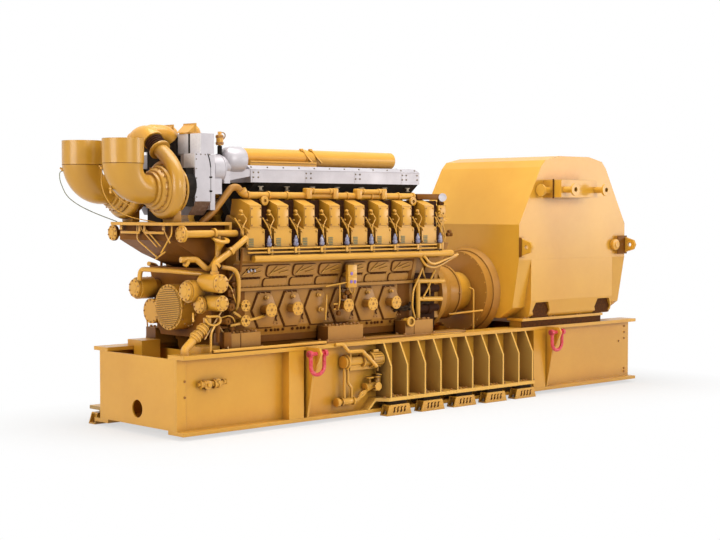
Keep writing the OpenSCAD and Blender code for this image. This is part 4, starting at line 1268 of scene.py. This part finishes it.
def air_header():
    """Header with its swept end, rings, bridges and vent flanges."""
    way, level = -0.6, 3.0463
    bridge_way, bridge_level = -0.64, 3.108
    parts = [tube(at_y(way, (-0.54, level), (-3.68, level), (-3.76, 3.125)), 0.046, 0.06, 16)]
    for x in (-3.62, -3.27, -2.95, -1.86, -1.4, -0.86, -0.56):
        parts.append(placed(band(0.014, 0.044, 0.058), (x, way, level), AXLE, 24))
    parts.append(placed(band(0.02, 0.044, 0.064), (-3.715, -0.61, 3.1), (-0.5, 0, 0.85), 24))
    for x in (-2.65, -1.72):
        parts.append(tube(at_y(
            bridge_way, (x + 0.05, bridge_level), (x + 0.54, bridge_level),
        ), 0.034, 0.05, 14))
        for dx in (0.14, 0.44):
            parts.append(placed(band(0.012, 0.03, 0.044), (x + dx, bridge_way, bridge_level), AXLE, 20))
        for dx in (0, 0.485):
            parts.append(slab((x + dx, -0.685, 3.001), (x + dx + 0.09, -0.58, 3.15), 0.016, 3))
    vent = [
        (-0.04, 0.04), (-0.01, 0.04), (0, 0.062), (0.022, 0.062), (0.026, 0.058), (0.026, 0.024),
        (0.0, 0.022),
    ]
    for x in (-3.394, -0.624):
        parts.append(placed(vent, (x, -0.668, 2.975), NEAR, 28))
        parts.append(tube(at_x(x, (-0.65, 2.975), (-0.61, 3.03)), 0.022, 0.02))
    return merge(parts)


pair("header", air_header(), PLATE, "air_header")
# painted shadow: the bends lie in the turbochargers' shadow and take the darker gold
pipes("header_bends", [[
    (-3.74, -0.6, 3.105), (-3.78, -0.6, 3.15), (-3.87, -0.59, 3.15), (-3.93, -0.575, 3.075),
    (-4.12, -0.56, 2.86), (-4.3, -0.5, 2.68), (-4.36, -0.46, 2.58),
]], 0.047, 0.07, SHADE_GOLD, 16)
tail = ((-0.5, -0.645, 3.0), (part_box("air_header_near")[1][0], -0.555, 3.085))
slabs("header_tails", [tail], SHADED, 0.012)
# painted shade: dark walls behind the gaps between the cylinder heads
walls = []
for x in GAPS[1:]:
    walls.append(((x - 0.132, -0.632, 2.6), (x + 0.132, -0.622, 2.985)))
    walls.append(((x - 0.079, -0.742, 2.372), (x + 0.079, -0.732, 2.6)))
slabs("gap_walls", walls, DARK_GAP, 0.002, 1)
# painted shade: dark wall at the free end of the heads
slabs("head_end_walls", [((-3.925, -0.8, 2.2), (-3.893, -0.3, 2.62))], DARK_GAP)
pipes(
    "front_riser", [[(-3.915, -0.86, 2.36), (-3.935, -0.87, 2.24), (-3.95, -0.86, 2.06)]], 0.018, 0.05,
    SHADED,
)

# ---------------------------------------------------------------- studio

SHADOW_MIDDLE_X = -0.4
SHADOW_HALF_X = 4.4
SHADOW_HALF_Y = 1.0
LEAST_WHITE = 0.62


def seen_rays(tree):
    """1 for camera, glossy and transmission rays."""
    path = tree.nodes.new("ShaderNodeLightPath")
    first = path.outputs["Is Camera Ray"]
    for name in ("Is Glossy Ray", "Is Transmission Ray"):
        most = tree.nodes.new("ShaderNodeMath")
        most.operation = "MAXIMUM"
        tree.links.new(first, most.inputs[0])
        tree.links.new(path.outputs[name], most.inputs[1])
        first = most.outputs[0]
    return first


def plain_light(tree, kind, colour, strength):
    """Emission or background node of one colour."""
    made = tree.nodes.new(kind)
    made.inputs["Color"].default_value = colour
    made.inputs["Strength"].default_value = strength
    return made.outputs[0]


def blend_to(tree, factor, first, second, output):
    """Mix of two shaders, sent to an output node."""
    blend = tree.nodes.new("ShaderNodeMixShader")
    for slot, source in enumerate((factor, first, second)):
        tree.links.new(source, blend.inputs[slot])
    tree.links.new(blend.outputs[0], output.inputs["Surface"])


def studio_floor():
    """Pale floor that holds the shadow near the set and goes to plain white away from it."""
    deselect()
    bpy.ops.mesh.primitive_plane_add(size=160, location=(0, 0, -0.001))
    floor = bpy.context.object
    floor.name = "studio_floor"
    bpy.ops.object.transform_apply(location=True)
    finish = Finish("studio_white", {
        "Base Color": (0.8, 0.8, 0.8, 1), "Roughness": 0.9, "Specular IOR Level": 0.2,
    })
    from_middle = (finish.part(finish.place(), "X") - SHADOW_MIDDLE_X).math_of("ABSOLUTE")
    from_axis = finish.part(finish.place(), "Y").math_of("ABSOLUTE")
    beyond_x = (from_middle - SHADOW_HALF_X).most(0.0)
    beyond_y = (from_axis - SHADOW_HALF_Y).most(0.0)
    away = (beyond_x * beyond_x + beyond_y * beyond_y).math_of("SQRT")
    whiteness = LEAST_WHITE + (1 - LEAST_WHITE) * finish.ramp(away, 0.2, 2.2)
    factor = Signal(finish, seen_rays(finish.tree)) * whiteness
    white = plain_light(finish.tree, "ShaderNodeEmission", (1, 1, 1, 1), 1)
    output = finish.tree.nodes["Material Output"]
    blend_to(finish.tree, factor.socket, finish.shader.outputs[0], white, output)
    floor.data.materials.append(finish.material)


def studio_world(strength):
    """White to the camera and to reflections, and a lower level as light."""
    world = bpy.data.worlds.new("studio")
    bpy.context.scene.world = world
    world.use_nodes = True
    tree = world.node_tree
    tree.nodes.clear()
    light = plain_light(tree, "ShaderNodeBackground", (1, 0.985, 0.96, 1), strength)
    seen = plain_light(tree, "ShaderNodeBackground", (1, 1, 1, 1), 1)
    blend_to(tree, seen_rays(tree), light, seen, tree.nodes.new("ShaderNodeOutputWorld"))


def lamp(name, place, aim, width, height, power, tint):
    """Rectangular area light."""
    light = bpy.data.lights.new(name, "AREA")
    light.shape = "RECTANGLE"
    light.size = width
    light.size_y = height
    light.energy = power
    light.color = tint
    lamp_object = bpy.data.objects.new(name, light)
    bpy.context.scene.collection.objects.link(lamp_object)
    lamp_object.location = place
    lamp_object.rotation_euler = (Vector(aim) - Vector(place)).to_track_quat("-Z", "Y").to_euler()


studio_floor()
studio_world(0.3)
lamp("left_softbox", (-18, -1, 6), (-2, 0, 1.6), 8, 7, 1000, (1, 0.97, 0.92))
lamp("front_softbox", (-4, -22, 8), (-1, 0, 1.6), 10, 6, 1500, (1, 0.98, 0.95))
lamp("right_softbox", (25, -18, 5), (2, 0, 1.8), 13, 7, 1330, (1, 0.99, 0.97))
lamp("top_softbox", (-2, -2, 13), (0, 0, 1), 12, 7, 1400, (1, 0.99, 0.97))
